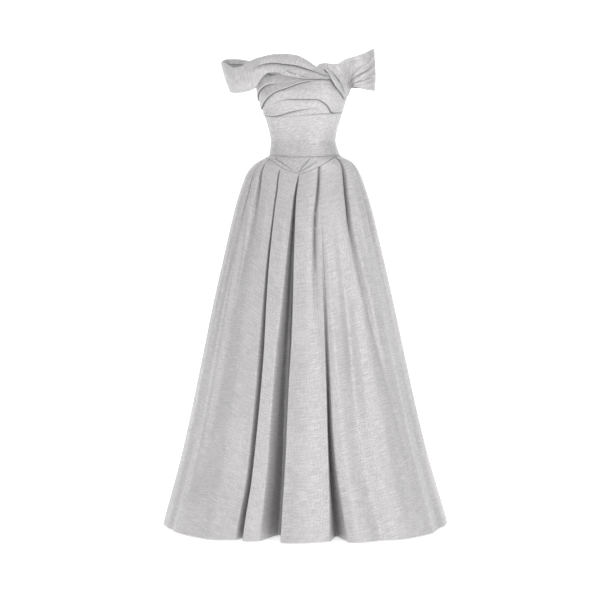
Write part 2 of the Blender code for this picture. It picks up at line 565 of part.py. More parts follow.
def make_slider(colour):
    """The slider's body over the gap, its neck through it, and the arch that holds the tab."""
    z = PULL_AXIS_Z
    face = BACK_FACE_Y
    arch = 0.0005
    boxes = (
        ((-0.0026, face + 0.0003, z - 0.0055), (0.0026, face + 0.0022, z + 0.0050)),
        ((-0.0003, face - 0.0018, z - 0.0035), (0.0003, face + 0.0010, z + 0.0035)),
        ((-arch, face + 0.0015, z - 0.0044), (arch, face + 0.0058, z - 0.0034)),
        ((-arch, face + 0.0015, z + 0.0034), (arch, face + 0.0058, z + 0.0044)),
        ((-arch, face + 0.0050, z - 0.0044), (arch, face + 0.0058, z + 0.0044)),
    )
    return join("zip_slider", boxes, colour)


def make_pull(colour):
    """The tab: a drop-shaped plate with a window, turning on the bar above the window."""
    steps = 20
    turn = np.linspace(0, 2 * math.pi, steps, endpoint=False)
    rim = np.stack([0.0028 * np.sin(turn), -0.0095 + 0.0103 * np.cos(turn)], axis=-1)
    rim[:, 0] *= 1 - 0.25 * np.cos(turn)
    window = np.stack([0.0012 * np.sin(turn), -0.0037 + 0.0030 * np.cos(turn)], axis=-1)
    bm = bmesh.new()
    loops = []
    for outline in (rim, window):
        for y in (PULL_AXIS_Y - PULL_THICK / 2, PULL_AXIS_Y + PULL_THICK / 2):
            loops.append([bm.verts.new((x, y, PULL_AXIS_Z + z)) for x, z in outline])
    rim_front, rim_back, window_front, window_back = loops
    for one, other in ((rim_front, rim_back), (rim_back, window_back),
                       (window_back, window_front), (window_front, rim_front)):
        for k in range(steps):
            n = (k + 1) % steps
            bm.faces.new((one[k], one[n], other[n], other[k]))
    return finish("zip_pull", bm, colour, 30.0)


def main():
    for obj in list(bpy.data.objects):
        bpy.data.objects.remove(obj)
    cloth = material("silver_cloth", (0.62, 0.62, 0.63), 0.45, 0.25)
    make_midriff(cloth)
    make_backs(cloth)
    make_bust(cloth)
    make_yoke(cloth)
    make_skirt(cloth)
    make_band("band_left", LEFT_BAND, -1, cloth)
    make_band("band_right", RIGHT_BAND, 1, cloth)
    make_twist(cloth)
    make_tape(material("zip_tape", (0.55, 0.55, 0.56), 0.8, 0.0))
    metal = material("zip_metal", (0.75, 0.75, 0.76), 0.3, 1.0)
    make_slider(metal)
    make_pull(metal)


main()
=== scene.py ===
# Off-shoulder ball gown in silver jacquard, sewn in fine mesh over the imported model.
# Metres, +Z up, the front faces -Y. Angles run round the body in degrees: 0 is the centre front,
# +90 the viewer's right, 180 the centre back. Left and right are as the viewer sees them.

import math

import bpy
import numpy as np
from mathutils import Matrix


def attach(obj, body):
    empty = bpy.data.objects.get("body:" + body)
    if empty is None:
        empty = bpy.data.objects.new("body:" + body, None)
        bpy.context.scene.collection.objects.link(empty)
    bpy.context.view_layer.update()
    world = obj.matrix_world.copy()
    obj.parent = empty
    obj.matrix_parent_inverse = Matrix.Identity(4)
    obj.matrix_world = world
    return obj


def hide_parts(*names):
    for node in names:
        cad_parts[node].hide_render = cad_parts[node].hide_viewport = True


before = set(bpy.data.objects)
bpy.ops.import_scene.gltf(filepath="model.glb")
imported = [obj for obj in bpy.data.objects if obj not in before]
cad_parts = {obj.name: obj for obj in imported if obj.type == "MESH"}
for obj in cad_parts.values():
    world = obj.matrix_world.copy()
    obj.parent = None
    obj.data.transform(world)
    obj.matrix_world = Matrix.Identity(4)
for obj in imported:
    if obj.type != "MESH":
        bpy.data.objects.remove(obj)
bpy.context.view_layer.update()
print("packed model loaded:", len(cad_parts), "nodes")

gown = {
    "cloth": 0.0018,          # thickness of the sewn cloth
    "seamGap": 0.0003,
    "zipGap": 0.0010,
    "rimBulge": 0.08,         # how far a cut edge rounds out, as a share of the thickness
    "sharpDegrees": 62.0,     # faces that meet at more than this stay sharp
    "hem": -1.184,
    "zipBottom": -0.165,
    "zipTop": 0.132,
}


def table(columns, *rows):
    return {name: np.array(values, float) for name, values in zip(columns.split(), zip(*rows))}


def inMetres(millimetres):
    return np.array(millimetres, float) / 1000


# The worn form: half width, depths of the front and back, sideways shift and squareness by height
wornForm = table(
    "z side front back shift square",
    (-1.184, 0.446, 0.416, 0.445, 0.008, 0.78),
    (-1.09, 0.418, 0.39, 0.415, 0.007, 0.79),
    (-0.994, 0.391, 0.364, 0.387, 0.006, 0.81),
    (-0.842, 0.3545, 0.325, 0.345, 0.0045, 0.83),
    (-0.69, 0.3215, 0.285, 0.305, 0.003, 0.85),
    (-0.539, 0.2895, 0.243, 0.265, 0.002, 0.87),
    (-0.387, 0.256, 0.2025, 0.226, 0.0012, 0.89),
    (-0.273, 0.23, 0.17, 0.196, 0.001, 0.9),
    (-0.197, 0.2115, 0.145, 0.175, 0.001, 0.91),
    (-0.16, 0.2, 0.131, 0.162, 0.001, 0.92),
    (-0.122, 0.187, 0.116, 0.148, 0.001, 0.92),
    (-0.096, 0.1755, 0.107, 0.137, 0.0016, 0.92),
    (-0.084, 0.1672, 0.104, 0.129, 0.003, 0.92),
    (-0.071, 0.1562, 0.101, 0.119, 0.0045, 0.92),
    (-0.059, 0.139, 0.098, 0.108, 0.0058, 0.92),
    (-0.05, 0.121, 0.0955, 0.098, 0.006, 0.92),
    (-0.043, 0.111, 0.0935, 0.092, 0.005, 0.92),
    (-0.034, 0.1082, 0.0915, 0.0885, 0.004, 0.92),
    (-0.018, 0.1048, 0.088, 0.084, 0.0025, 0.92),
    (0, 0.1018, 0.085, 0.081, 0.0005, 0.92),
    (0.025, 0.105, 0.0865, 0.082, 0, 0.92),
    (0.05, 0.1112, 0.0915, 0.085, 0, 0.92),
    (0.075, 0.1195, 0.1, 0.089, 0, 0.92),
    (0.1, 0.1275, 0.11, 0.092, -0.0006, 0.92),
    (0.125, 0.135, 0.119, 0.095, -0.0012, 0.92),
    (0.15, 0.1415, 0.124, 0.0965, -0.0012, 0.92),
    (0.175, 0.1465, 0.123, 0.097, -0.001, 0.92),
    (0.2, 0.148, 0.116, 0.096, 0, 0.92),
    (0.23, 0.147, 0.104, 0.094, 0, 0.92),
    (0.275, 0.143, 0.088, 0.09, 0, 0.92),
)

bustCups = {"angle": 36.0, "z": 0.150, "rise": 0.007, "spreadDegrees": 22.0, "spreadZ": 0.045}


def along(x, knots, values):
    # A smooth curve through the knots that never overshoots
    knots, values = np.asarray(knots, float), np.asarray(values, float)
    widths = np.diff(knots)
    slopes = np.diff(values) / widths
    tangents = np.zeros(len(knots))
    tangents[0], tangents[-1] = slopes[0], slopes[-1]
    rising = slopes[:-1] * slopes[1:] > 0
    both = np.where(slopes[:-1] + slopes[1:] == 0, 1.0, slopes[:-1] + slopes[1:])
    tangents[1:-1] = np.where(rising, 2 * slopes[:-1] * slopes[1:] / both, 0.0)
    x = np.clip(x, knots[0], knots[-1])
    i = np.clip(np.searchsorted(knots, x, side="right") - 1, 0, len(widths) - 1)
    w = widths[i]
    t = (x - knots[i]) / w
    return (
        values[i] * (1 + 2 * t) * (1 - t) ** 2
        + values[i + 1] * (3 - 2 * t) * t ** 2
        + w * tangents[i] * t * (1 - t) ** 2
        - w * tangents[i + 1] * (1 - t) * t ** 2
    )


def smoothStep(x, low=0.0, high=1.0):
    t = np.clip((x - low) / (high - low), 0, 1)
    return t * t * (3 - 2 * t)


def formAt(z):
    return {name: along(z, wornForm["z"], wornForm[name]) for name in wornForm if name != "z"}


def power(value, exponent):
    return np.sign(value) * np.abs(value) ** exponent


def cupRise(degrees, z):
    c = bustCups
    across = np.exp(-(((np.abs(degrees) - c["angle"]) / c["spreadDegrees"]) ** 2))
    return c["rise"] * across * np.exp(-(((z - c["z"]) / c["spreadZ"]) ** 2))


def onForm(angle, z, out=0.0):
    # Points on the worn form, out metres outside it
    angle, z, out = np.broadcast_arrays(np.asarray(angle, float), np.asarray(z, float), out)
    turn = np.radians(angle)
    at = formAt(z)
    raised = cupRise(angle, z)
    depth = np.where(np.cos(turn) > 0, at["front"], at["back"]) + out
    x = at["shift"] + (at["side"] + out) * power(np.sin(turn), at["square"])
    y = -depth * power(np.cos(turn), at["square"])
    return np.stack([x + raised * np.sin(turn), y - raised * np.cos(turn), z], axis=-1)


def standOff(points, distance):
    # Points moved out, level, until they are at least this far outside the form
    x, y, z = (points[..., k] for k in range(3))
    at = formAt(z)
    x = x - at["shift"]
    depth = np.where(y < 0, at["front"], at["back"])
    sideShare = np.abs(x / at["side"]) ** (1 / at["square"])
    depthShare = np.abs(y / depth) ** (1 / at["square"])
    degrees = np.degrees(np.arctan2(sideShare, depthShare))
    more = distance + cupRise(degrees, z) * (y < 0)
    level = (np.abs(x) / (at["side"] + more)) ** (2 / at["square"])
    level = level + (np.abs(y) / (depth + more)) ** (2 / at["square"])
    grow = np.maximum(1.0, level ** (-at["square"] / 2))
    return np.stack([x * grow + at["shift"], y * grow, z], axis=-1)


def nearest(across, up, line):
    # Signed distance to a drawn line, positive on its left, and how far along it the foot lies
    best = np.full(np.broadcast(across, up).shape, np.inf)
    side, share = np.zeros(best.shape), np.zeros(best.shape)
    line = np.asarray(line, float)
    steps = np.linalg.norm(np.diff(line, axis=0), axis=1)
    starts = np.concatenate([[0.0], np.cumsum(steps)]) / steps.sum()
    for k, (one, other) in enumerate(zip(line, line[1:])):
        run = other - one
        dx, dy = across - one[0], up - one[1]
        t = np.clip((dx * run[0] + dy * run[1]) / (run @ run), 0, 1)
        away = np.hypot(dx - t * run[0], dy - t * run[1])
        closer = away < best
        best = np.where(closer, away, best)
        side = np.where(closer, np.sign(run[0] * dy - run[1] * dx), side)
        share = np.where(closer, starts[k] + t * (starts[k + 1] - starts[k]), share)
    return best * side, share


def tapered(share, bluntness=0.6):
    return np.clip(np.sin(np.pi * np.clip(share, 0.0, 1.0)), 0, 1) ** bluntness


def creases(across, up, drawn):
    # Height of drawn ridges and lapped folds: kind, line, rise, width
    height = np.zeros(np.broadcast(across, up).shape)
    for kind, line, rise, width in drawn:
        away, share = nearest(across, up, line)
        if kind == "ridge":
            height = height + rise * tapered(share) * np.exp(-((away / width) ** 2))
        else:
            lap = smoothStep(away, -0.0008, 0.0008) * np.exp(-np.maximum(away, 0) / width)
            height = height + rise * tapered(share, 0.4) * lap
    return height


# Sewing a grid of points into a closed piece of cloth

def gridNormals(grid):
    run = np.gradient(grid, axis=1)
    rise = np.gradient(grid, axis=0)
    normals = np.cross(run, rise)
    size = np.linalg.norm(normals, axis=-1, keepdims=True)
    return normals / np.maximum(size, 1e-12)


def sewPiece(name, grid, grain, materials, paintedShade, thickness=None):
    # Rows go up and columns go round to the right, so that the normals face out
    thickness = gown["cloth"] if thickness is None else thickness
    rows, columns = grid.shape[:2]
    normals = gridNormals(grid)
    inner = grid - thickness * normals
    paintedShade = np.clip(np.broadcast_to(paintedShade, (rows, columns)), 0, 1).reshape(-1)
    points = np.concatenate([grid.reshape(-1, 3), inner.reshape(-1, 3)])
    grains = np.concatenate([grain.reshape(-1, 2), grain.reshape(-1, 2)])
    shift = rows * columns
    index = np.arange(shift).reshape(rows, columns)
    low, right = index[:-1, :-1].ravel(), index[:-1, 1:].ravel()
    top, corner = index[1:, :-1].ravel(), index[1:, 1:].ravel()
    outerFaces = np.stack([low, right, corner, top], axis=1)
    innerFaces = outerFaces[:, ::-1] + shift
    rim = np.concatenate([index[0, :-1], index[:-1, -1], index[-1, :0:-1], index[:0:-1, 0]])
    after = np.roll(rim, -1)
    # A row of points half-way round the rim, pushed out a little, rounds the cloth's cut edge
    middle = (points[rim] + points[rim + shift]) / 2
    steps = np.concatenate([
        grid[0, :-1] - grid[1, :-1], grid[:-1, -1] - grid[:-1, -2],
        grid[-1, :0:-1] - grid[-2, :0:-1], grid[:0:-1, 0] - grid[:0:-1, 1]])
    steps = steps / np.maximum(np.linalg.norm(steps, axis=1, keepdims=True), 1e-12)
    middle = middle + steps * thickness * gown["rimBulge"]
    base = len(points)
    points = np.concatenate([points, middle])
    grains = np.concatenate([grains, grains[rim]])
    paintedShade = np.concatenate([paintedShade, paintedShade, paintedShade[rim]])
    mids = base + np.arange(len(rim))
    nextMids = np.roll(mids, -1)
    rimFaces = np.concatenate([
        np.stack([rim, mids, nextMids, after], axis=1),
        np.stack([mids, rim + shift, after + shift, nextMids], axis=1)])
    faces = np.concatenate([outerFaces, innerFaces, rimFaces])
    mesh = bpy.data.meshes.new(name)
    mesh.from_pydata(points.tolist(), [], faces.tolist())
    mesh.polygons.foreach_set("use_smooth", np.ones(len(faces), bool))
    for one in materials:
        mesh.materials.append(one)
    if len(materials) > 1:
        slots = np.zeros(len(faces), np.int32)
        slots[len(outerFaces):len(outerFaces) + len(innerFaces)] = 1
        mesh.polygons.foreach_set("material_index", slots)
    held = mesh.attributes.new("grain", "FLOAT_VECTOR", "POINT")
    held.data.foreach_set("vector", np.column_stack([grains, np.zeros(len(grains))]).ravel())
    # Painted shade of folds, pleats and seams, kept per point
    shaded = mesh.attributes.new("paintedShade", "FLOAT", "POINT")
    shaded.data.foreach_set("value", paintedShade)
    mesh.update()
    mesh.set_sharp_from_angle(angle=math.radians(gown["sharpDegrees"]))
    piece = bpy.data.objects.new(name, mesh)
    bpy.context.scene.collection.objects.link(piece)
    return piece


def clothGrain(grid, offset=(0.0, 0.0), turned=0.0):
    # Metres across and up the cloth, measured along the grid from its middle column and turned
    # by the degrees that the cloth was cut or wrapped off its straight grain
    across = np.linalg.norm(np.diff(grid, axis=1), axis=-1)
    across = np.concatenate([np.zeros((len(grid), 1)), np.cumsum(across, axis=1)], axis=1)
    middle = grid.shape[1] // 2
    across = across - across[:, middle:middle + 1]
    up = np.linalg.norm(np.diff(grid, axis=0), axis=-1)
    up = np.concatenate([np.zeros((1, grid.shape[1])), np.cumsum(up, axis=0)], axis=0)
    cosine, sine = math.cos(math.radians(turned)), math.sin(math.radians(turned))
    return np.stack([across * cosine + up * sine + offset[0],
                     up * cosine - across * sine + offset[1]], axis=-1)


def areaOf(grid):
    run = grid[:-1, 1:] - grid[:-1, :-1]
    rise = grid[1:, :-1] - grid[:-1, :-1]
    return float(np.linalg.norm(np.cross(run, rise), axis=-1).sum())


def partSeams(grid, angles):
    # The end columns stand half a gap back from the seam that they lie on
    grid = grid.copy()
    for column in (0, -1):
        if abs(abs(angles[column]) - 90.0) < 1e-6:
            away = -1.0 if np.mean(np.abs(angles)) < 90 else 1.0
            grid[:, column, 1] = away * gown["seamGap"] / 2
        elif abs(abs(angles[column]) - 180.0) < 1e-6:
            away = np.sign(np.mean(angles))
            gap = np.where(grid[:, column, 2] > gown["zipBottom"], gown["zipGap"], gown["seamGap"])
            grid[:, column, 0] = away * gap / 2
    return grid


def finishPiece(name, node, grid, grain, materials, paintedShade, thickness=None):
    piece = sewPiece(name, grid, grain, materials, paintedShade, thickness)
    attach(piece, "dress")
    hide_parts(node)
    print("sewn", name, "area", round(areaOf(grid), 4))


# Materials

class Wire:
    # One output in a shader tree: arithmetic on it adds Math nodes

    def __init__(self, tree, socket=None):
        self.tree = tree
        self.socket = socket

    def add(self, kind, settings=None, inputs=None, output=0):
        node = self.tree.nodes.new(kind)
        for key, value in (settings or {}).items():
            setattr(node, key, value)
        for key, value in (inputs or {}).items():
            if isinstance(value, Wire):
                self.tree.links.new(value.socket, node.inputs[key])
            else:
                node.inputs[key].default_value = value
        return Wire(self.tree, node.outputs[output])

    def maths(self, operation, *values):
        return self.add("ShaderNodeMath", {"operation": operation}, dict(enumerate(values)))

    def __add__(self, other):
        return self.maths("ADD", self, other)

    def __mul__(self, other):
        return self.maths("MULTIPLY", self, other)


def newMaterial(name):
    made = bpy.data.materials.new(name)
    made.use_nodes = True
    tree = made.node_tree
    return made, Wire(tree), tree.nodes["Principled BSDF"]


def stretched(wire, grain, across, up, detail=2.0, offset=0.0):
    # Noise with this many blotches a metre across and up the cloth
    spread = wire.add("ShaderNodeMapping", None, {
        "Vector": grain, "Location": (offset, offset * 1.7, 0.0), "Scale": (across, up, 1.0)})
    return wire.add("ShaderNodeTexNoise", {"noise_dimensions": "2D"}, {
        "Vector": spread, "Scale": 1.0, "Detail": detail, "Roughness": 0.6})


silver = {
    "dark": (0.512, 0.501, 0.507),
    "light": (0.656, 0.643, 0.650),
    # the near black that the painted shade mixes the cloth towards
    "paintedShade": (0.13, 0.13, 0.132),
    "metallic": 0.40,
    "rough": (0.32, 0.48),
    "cells": 105.0,           # crackle cells a metre
    "slubs": (24.0, 330.0),   # the thick weft threads: marks a metre along and across them
    "relief": 0.0020,
}


def silverJacquard(name, look=silver, crackle=1.0, warpShare=0.45):
    made, wire, shader = newMaterial(name)
    grain = wire.add("ShaderNodeAttribute", {"attribute_name": "grain"}, output=1)
    paintedShade = wire.add("ShaderNodeAttribute", {"attribute_name": "paintedShade"}, output=2)
    slubs = stretched(wire, grain, look["slubs"][0], look["slubs"][1], 3.0)
    warp = stretched(wire, grain, 260.0, 36.0, 3.0, 4.0)
    threads = stretched(wire, grain, 230.0, 230.0, 3.0, 2.0)
    wander = stretched(wire, grain, 38.0, 38.0, 2.0, 8.0)
    patches = stretched(wire, grain, 5.0, 3.0, 2.0, 1.0)
    bent = wire.add("ShaderNodeVectorMath", {"operation": "MULTIPLY_ADD"}, {
        0: grain, 1: (look["cells"], look["cells"] * 1.5, 0.0),
        2: wire.add("ShaderNodeCombineXYZ", None, {"X": wander * 1.6, "Y": wander * -1.1})})
    cells = wire.add("ShaderNodeTexVoronoi", {
        "voronoi_dimensions": "2D", "feature": "DISTANCE_TO_EDGE"}, {
        "Vector": bent, "Scale": 1.0, "Randomness": 0.85})
    ridges = wire.add("ShaderNodeMapRange", {"interpolation_type": "SMOOTHSTEP"}, {
        "Value": cells, "From Min": 0.0, "From Max": 0.22, "To Min": 0.0, "To Max": 1.0})
    patchy = wire.add("ShaderNodeMapRange", {"interpolation_type": "SMOOTHSTEP"}, {
        "Value": patches, "From Min": 0.44, "From Max": 0.60, "To Min": 0.10, "To Max": 1.0})
    cross = slubs * (1.0 - warpShare) + warp * warpShare
    height = ridges * patchy * (0.34 * crackle) + cross * 0.8 + threads * 0.35
    shine = wire.add("ShaderNodeMapRange", {"interpolation_type": "SMOOTHSTEP"}, {
        "Value": cross * 0.85 + ridges * patchy * (0.12 * crackle) + threads * 0.25,
        "From Min": 0.46, "From Max": 0.72, "To Min": 0.0, "To Max": 1.0})
    colour = wire.add("ShaderNodeMix", {"data_type": "RGBA"}, {
        0: shine, 6: (*look["dark"], 1.0), 7: (*look["light"], 1.0)}, output=2)
    # Painted shade: the colour is mixed towards that near black by the per-point shade attribute
    colour = wire.add("ShaderNodeMix", {"data_type": "RGBA"}, {
        0: paintedShade, 6: colour, 7: (*look["paintedShade"], 1.0)}, output=2)
    rough = wire.add("ShaderNodeMapRange", None, {
        "Value": shine, "To Min": look["rough"][1], "To Max": look["rough"][0]})
    bump = wire.add("ShaderNodeBump", None, {
        "Strength": 0.8, "Distance": look["relief"], "Height": height})
    tree = made.node_tree
    tree.links.new(colour.socket, shader.inputs["Base Color"])
    tree.links.new(rough.socket, shader.inputs["Roughness"])
    tree.links.new(bump.socket, shader.inputs["Normal"])
    shader.inputs["Metallic"].default_value = look["metallic"]
    shader.inputs["Sheen Weight"].default_value = 0.25
    shader.inputs["Sheen Roughness"].default_value = 0.4
    return made


liningSatin = {"weave": (500.0, 90.0), "detail": 2.0, "dark": (0.40, 0.40, 0.41),
               "light": (0.52, 0.52, 0.53), "bump": 0.3, "rough": 0.5}
tapeWeave = {"weave": (1200.0, 500.0), "detail": 1.0, "dark": (0.42, 0.42, 0.43),
             "light": (0.62, 0.62, 0.63), "bump": 0.5, "rough": 0.8}


def plainWeave(name, look):
    made, wire, shader = newMaterial(name)
    grain = wire.add("ShaderNodeAttribute", {"attribute_name": "grain"}, output=1)
    weave = stretched(wire, grain, look["weave"][0], look["weave"][1], look["detail"])
    colour = wire.add("ShaderNodeMix", {"data_type": "RGBA"}, {
        0: weave, 6: (*look["dark"], 1.0), 7: (*look["light"], 1.0)}, output=2)
    bump = wire.add("ShaderNodeBump", None, {
        "Strength": look["bump"], "Distance": 0.0002, "Height": weave})
    made.node_tree.links.new(colour.socket, shader.inputs["Base Color"])
    made.node_tree.links.new(bump.socket, shader.inputs["Normal"])
    shader.inputs["Roughness"].default_value = look["rough"]
    return made


def polishedMetal(name):
    made, wire, shader = newMaterial(name)
    where = wire.add("ShaderNodeTexCoord", output=3)
    scratches = wire.add("ShaderNodeTexNoise", None, {
        "Vector": where, "Scale": 900.0, "Detail": 3.0})
    rough = wire.add("ShaderNodeMapRange", None, {
        "Value": scratches, "To Min": 0.18, "To Max": 0.36})
    bump = wire.add("ShaderNodeBump", None, {
        "Strength": 0.2, "Distance": 0.00005, "Height": scratches})
    made.node_tree.links.new(rough.socket, shader.inputs["Roughness"])
    made.node_tree.links.new(bump.socket, shader.inputs["Normal"])
    shader.inputs["Base Color"].default_value = (0.72, 0.72, 0.74, 1.0)
    shader.inputs["Metallic"].default_value = 1.0
    return made


jacquard = silverJacquard("silverJacquard", warpShare=0.35)
bodiceJacquard = silverJacquard("silverJacquardBodice", {**silver, "slubs": (60.0, 330.0)},
                                crackle=0.4, warpShare=0.15)
lining = plainWeave("liningSatin", liningSatin)
tape = plainWeave("zipTapeWeave", tapeWeave)
metal = polishedMetal("zipMetal")
bodiceCloth = [bodiceJacquard, lining]
print("materials made")


# Waist seam and the basque curve, as heights by angle
waistSeam = table(
    "angle z",
    (-180, -0.043), (-135, -0.045), (-90, -0.0465), (-45, -0.0477), (0, -0.0515), (45, -0.047),
    (90, -0.039), (135, -0.0415), (180, -0.043))
basqueSeam = table(
    "angle z",
    (-90, -0.051), (-65, -0.0545), (-52, -0.058), (-40, -0.0655), (-27, -0.079), (-17, -0.091),
    (-9, -0.1), (-3, -0.1025), (3, -0.098), (9, -0.0895), (16, -0.0795), (27, -0.0655),
    (37, -0.0565), (48, -0.0505), (62, -0.047), (90, -0.043))


def waistAt(angle):
    return along(angle, waistSeam["angle"], waistSeam["z"])


def basqueAt(angle):
    return along(angle, basqueSeam["angle"], basqueSeam["z"])


# Skirt

pleats = table(
    "waist hip hem hipDepth hemDepth half wall lean bias round hipRound",
    (-158, -159, -160, 0.014, 0.075, 6.5, 0.9, 0, 0.3, 0.016, 0.002),
    (-134, -134, -134, 0.014, 0.07, 6.5, 1, 2.5, 0.4, 0.016, 0.002),
    (-112, -110, -109, 0.012, 0.045, 6.5, 1, -1.5, -0.4, 0.012, 0.002),
    (-64, -58, -64, 0.01, 0.003, 5.5, 1, 0, 0, 0.001, 0.003),
    (-51, -43.5, -46, 0.014, 0.001, 4.4, 1, 0, -0.6, 0.001, 0.011),
    (-25.5, -22, -20.6, 0.017, 0.066, 2.9, 1, 0, 0.6, 0.02, 0.002),
    (-4, -6.3, -7.7, 0.018, 0.095, 3.3, 0.8, 0, 0.5, 0.024, 0.002),
    (15.5, 10.8, 10, 0.016, 0.08, 3.2, 1, 0, 0.6, 0.022, 0.003),
    (53, 37, 44, 0.018, 0.001, 4.6, 1, 0, -0.6, 0.001, 0.008),
    (75, 67, 66, 0.005, 0.01, 11, 1, 0, 0, 0.001, 0.001),
    (112, 110, 109, 0.012, 0.045, 6.5, 1, 1.5, 0.4, 0.012, 0.002),
    (134, 134, 134, 0.014, 0.07, 6.5, 1, -2.5, -0.4, 0.016, 0.002),
    (158, 159, 160, 0.014, 0.075, 6.5, 0.9, 0, -0.3, 0.016, 0.002),
)

# The five front slits in full: their middles and half widths in degrees, down the skirt
slitShares = (0, 0.07, 0.13, 0.19, 0.25, 0.37, 0.49, 0.61, 0.73, 0.84, 0.95, 1)
slitMiddles = {
    4: (-52, -45, -44, -43.5, -43, -42.5, -42, -42.5, -43, -44, -45, -46),
    5: (-24.1, -22.8, -22.8, -23, -23.2, -22.5, -21.8, -21.2, -21.1, -21, -21.6, -22),
    6: (-3.6, -6.2, -6.85, -7.4, -7.85, -8.3, -9.1, -9.6, -9.7, -9.7, -9.8, -10),
    7: (14.6, 11.9, 11.6, 11.4, 11.1, 10.6, 10, 9.4, 8.75, 8.55, 8.4, 8.4),
    8: (49, 43, 40.5, 39.7, 40.5, 44, 45, 45, 45, 45, 45, 45),
}
slitHalves = {
    4: (2.2, 3, 4.4, 4.8, 4.8, 4.8, 4.8, 4.8, 4.8, 4.8, 4.8, 4.8),
    5: (1.3, 1, 1, 1.2, 1.45, 1.7, 2.2, 1.9, 1.8, 1.7, 2, 2.3),
    6: (0.8, 1.3, 1.75, 2.3, 2.75, 3.5, 4.1, 4, 4, 3.9, 4, 4.2),
    7: (1, 1.5, 1.2, 1.1, 1.1, 1.1, 1.1, 1.1, 1.25, 1.75, 2.6, 3.2),
    8: (2, 2.4, 2.8, 3.4, 4.4, 4.6, 4.6, 4.6, 4.6, 4.6, 4.6, 4.6),
}
# Painted shade inside each front slit, down the skirt
slitShades = {
    4: (0.3, 0.4, 0.28, 0.15, 0.08, 0.04, 0, 0, 0, 0, 0, 0),
    5: (0.1, 0.4, 0.7, 0.85, 0.9, 0.7, 0.55, 0.5, 0.5, 0.58, 0.7, 0.75),
    6: (0.12, 0.3, 0.5, 0.62, 0.65, 0.75, 0.62, 0.52, 0.46, 0.4, 0.34, 0.32),
    7: (0, 0, 0, 0, 0.05, 0.1, 0.16, 0.24, 0.28, 0.32, 0.38, 0.42),
    8: (0.3, 0.7, 0.6, 0.3, 0.1, 0.05, 0, 0, 0, 0, 0, 0),
}
slitDepths = {
    7: (0, 0, 0, 0.06, 0.15, 0.3, 0.45, 0.65, 0.85, 1, 1, 1),
    8: (0.4, 0.4, 0.3, 0.3, 0.3, 0.3, 0.3, 0.3, 0.3, 0.3, 0.3, 0.3),
}

# Soft ridges down the skirt: angle at the hip and the hem, half width, rise, first and last share
softRidges = table(
    "hip hem wide rise first last",
    (-53, -52, 5, 0.005, 0.05, 1.1),
    (-35, -33, 4, 0.0035, 0.1, 1.1),
    (-15, -14, 2.6, 0.003, 0.05, 1.1),
    (1, -1, 3.2, 0.004, 0.1, 1.1),
    (15, 13, 2.6, 0.003, 0.1, 1.1),
    (27, 27, 6, -0.005, 0.3, 1.1),
    (62, 60, 3, -0.003, 0.35, 0.9),
    (-75, -76, 6, 0.004, 0.2, 1.1),
)

# Soft grooves in the front: paths in degrees at the slits' shares, and how much they show
grooves = (
    {"path": (14.6, 11.4, 8.2, 7, 6.4, 5.9, 5.6, 5.4, 5.2, 5, 5, 5),
     "shown": (0.5, 1, 1, 0.95, 0.75, 0.3, 0.08, 0, 0, 0, 0, 0),
     "wide": 1, "depth": 0.012, "shade": 0.62},
    {"path": (49.5, 43, 39.6, 38, 38.6, 41.2, 43.6, 46, 48.5, 50, 51, 51),
     "shown": (0.6, 1, 1, 0.95, 0.8, 0.6, 0.5, 0.4, 0.25, 0.1, 0, 0),
     "wide": 2.8, "depth": 0.016, "shade": 0.7},
    {"path": (26, 26, 26, 26, 26, 25.5, 24.5, 23, 22, 22.5, 24, 25),
     "shown": (0, 0, 0, 0.1, 0.25, 0.5, 0.8, 1, 1, 1, 0.8, 0.6),
     "wide": 5, "depth": 0.014, "shade": 0.1},
    {"path": (-60, -57, -54, -52, -50, -48, -47, -47, -48, -50, -52,
              -53),
     "shown": (0, 0.2, 0.4, 0.6, 0.8, 0.9, 1, 1, 0.9, 0.7, 0.5, 0.4),
     "wide": 4, "depth": 0.008, "shade": 0.05},
)

skirt = {
    "across": 21,             # columns across one pleat
    "widest": 0.95,           # degrees between columns elsewhere
    "offPleat": 9.0,          # the step of a column that lies outside every pleat
    "rows": 128,
    "hipShare": 0.05,
    "pinchShare": 0.09,
    "slit": 0.30,             # share of a pleat's width that is open at the seam
    "openBy": 0.34,           # share of the height by which it is fully open
    "leanBy": 0.1,
    # painted shade at the deepest part of a pleat
    "shade": 0.55,
    "halfShade": 0.02,        # the depth at which a pleat has half of that painted shade
    "roundAside": 0.9,        # how far beside a pleat its lobe rounds, in half widths
    "roundWide": 1.6,
    "hipRoundAt": 0.17,
    "hipRoundTall": 0.13,
    "softEnd": 0.2,           # share of the height over which a soft ridge comes and goes
    "grooveFade": 0.32,
    "wave": 0.0012,
    "hemStitch": 0.022,       # the hem's stitching above its edge
    "stitchDip": 0.0007,
    "stitchTall": 0.004,
    "hemTurn": 0.0009,        # the turned hem draws in by this at its edge
    "hemTurnTall": 0.012,
    # painted shade under the seam at the skirt's top
    "seamShade": 0.4,
    "seamShadeTall": 0.0012,
    "joinDepth": 0.03,        # the cloth's grain is joined in pleats deeper than this
    "front": {"flat": (1.95, 1.16), "area": 1.29, "held": "gathered", "restsOn": ["yokeFront"]},
    "back": {"flat": (1.15, 1.16), "area": 0.68, "held": "gathered",
             "restsOn": ["backLeft", "backRight"]},
}


def pleatCurves(t):
    # Each pleat's middle and half width in degrees, for every share of the height
    fan = 1 - np.exp(-t / skirt["hipShare"])
    middles, halves = [], []
    for k, half in enumerate(pleats["half"]):
        if k in slitMiddles:
            middles.append(along(t, slitShares, slitMiddles[k]))
            halves.append(along(t, slitShares, slitHalves[k]))
        else:
            middle = pleats["waist"][k] + (pleats["hip"][k] - pleats["waist"][k]) * fan
            middles.append(middle + (pleats["hem"][k] - pleats["hip"][k]) * t)
            opened = skirt["slit"] + (1 - skirt["slit"]) * smoothStep(t, 0.0, skirt["openBy"])
            halves.append(half * opened)
    return middles, halves


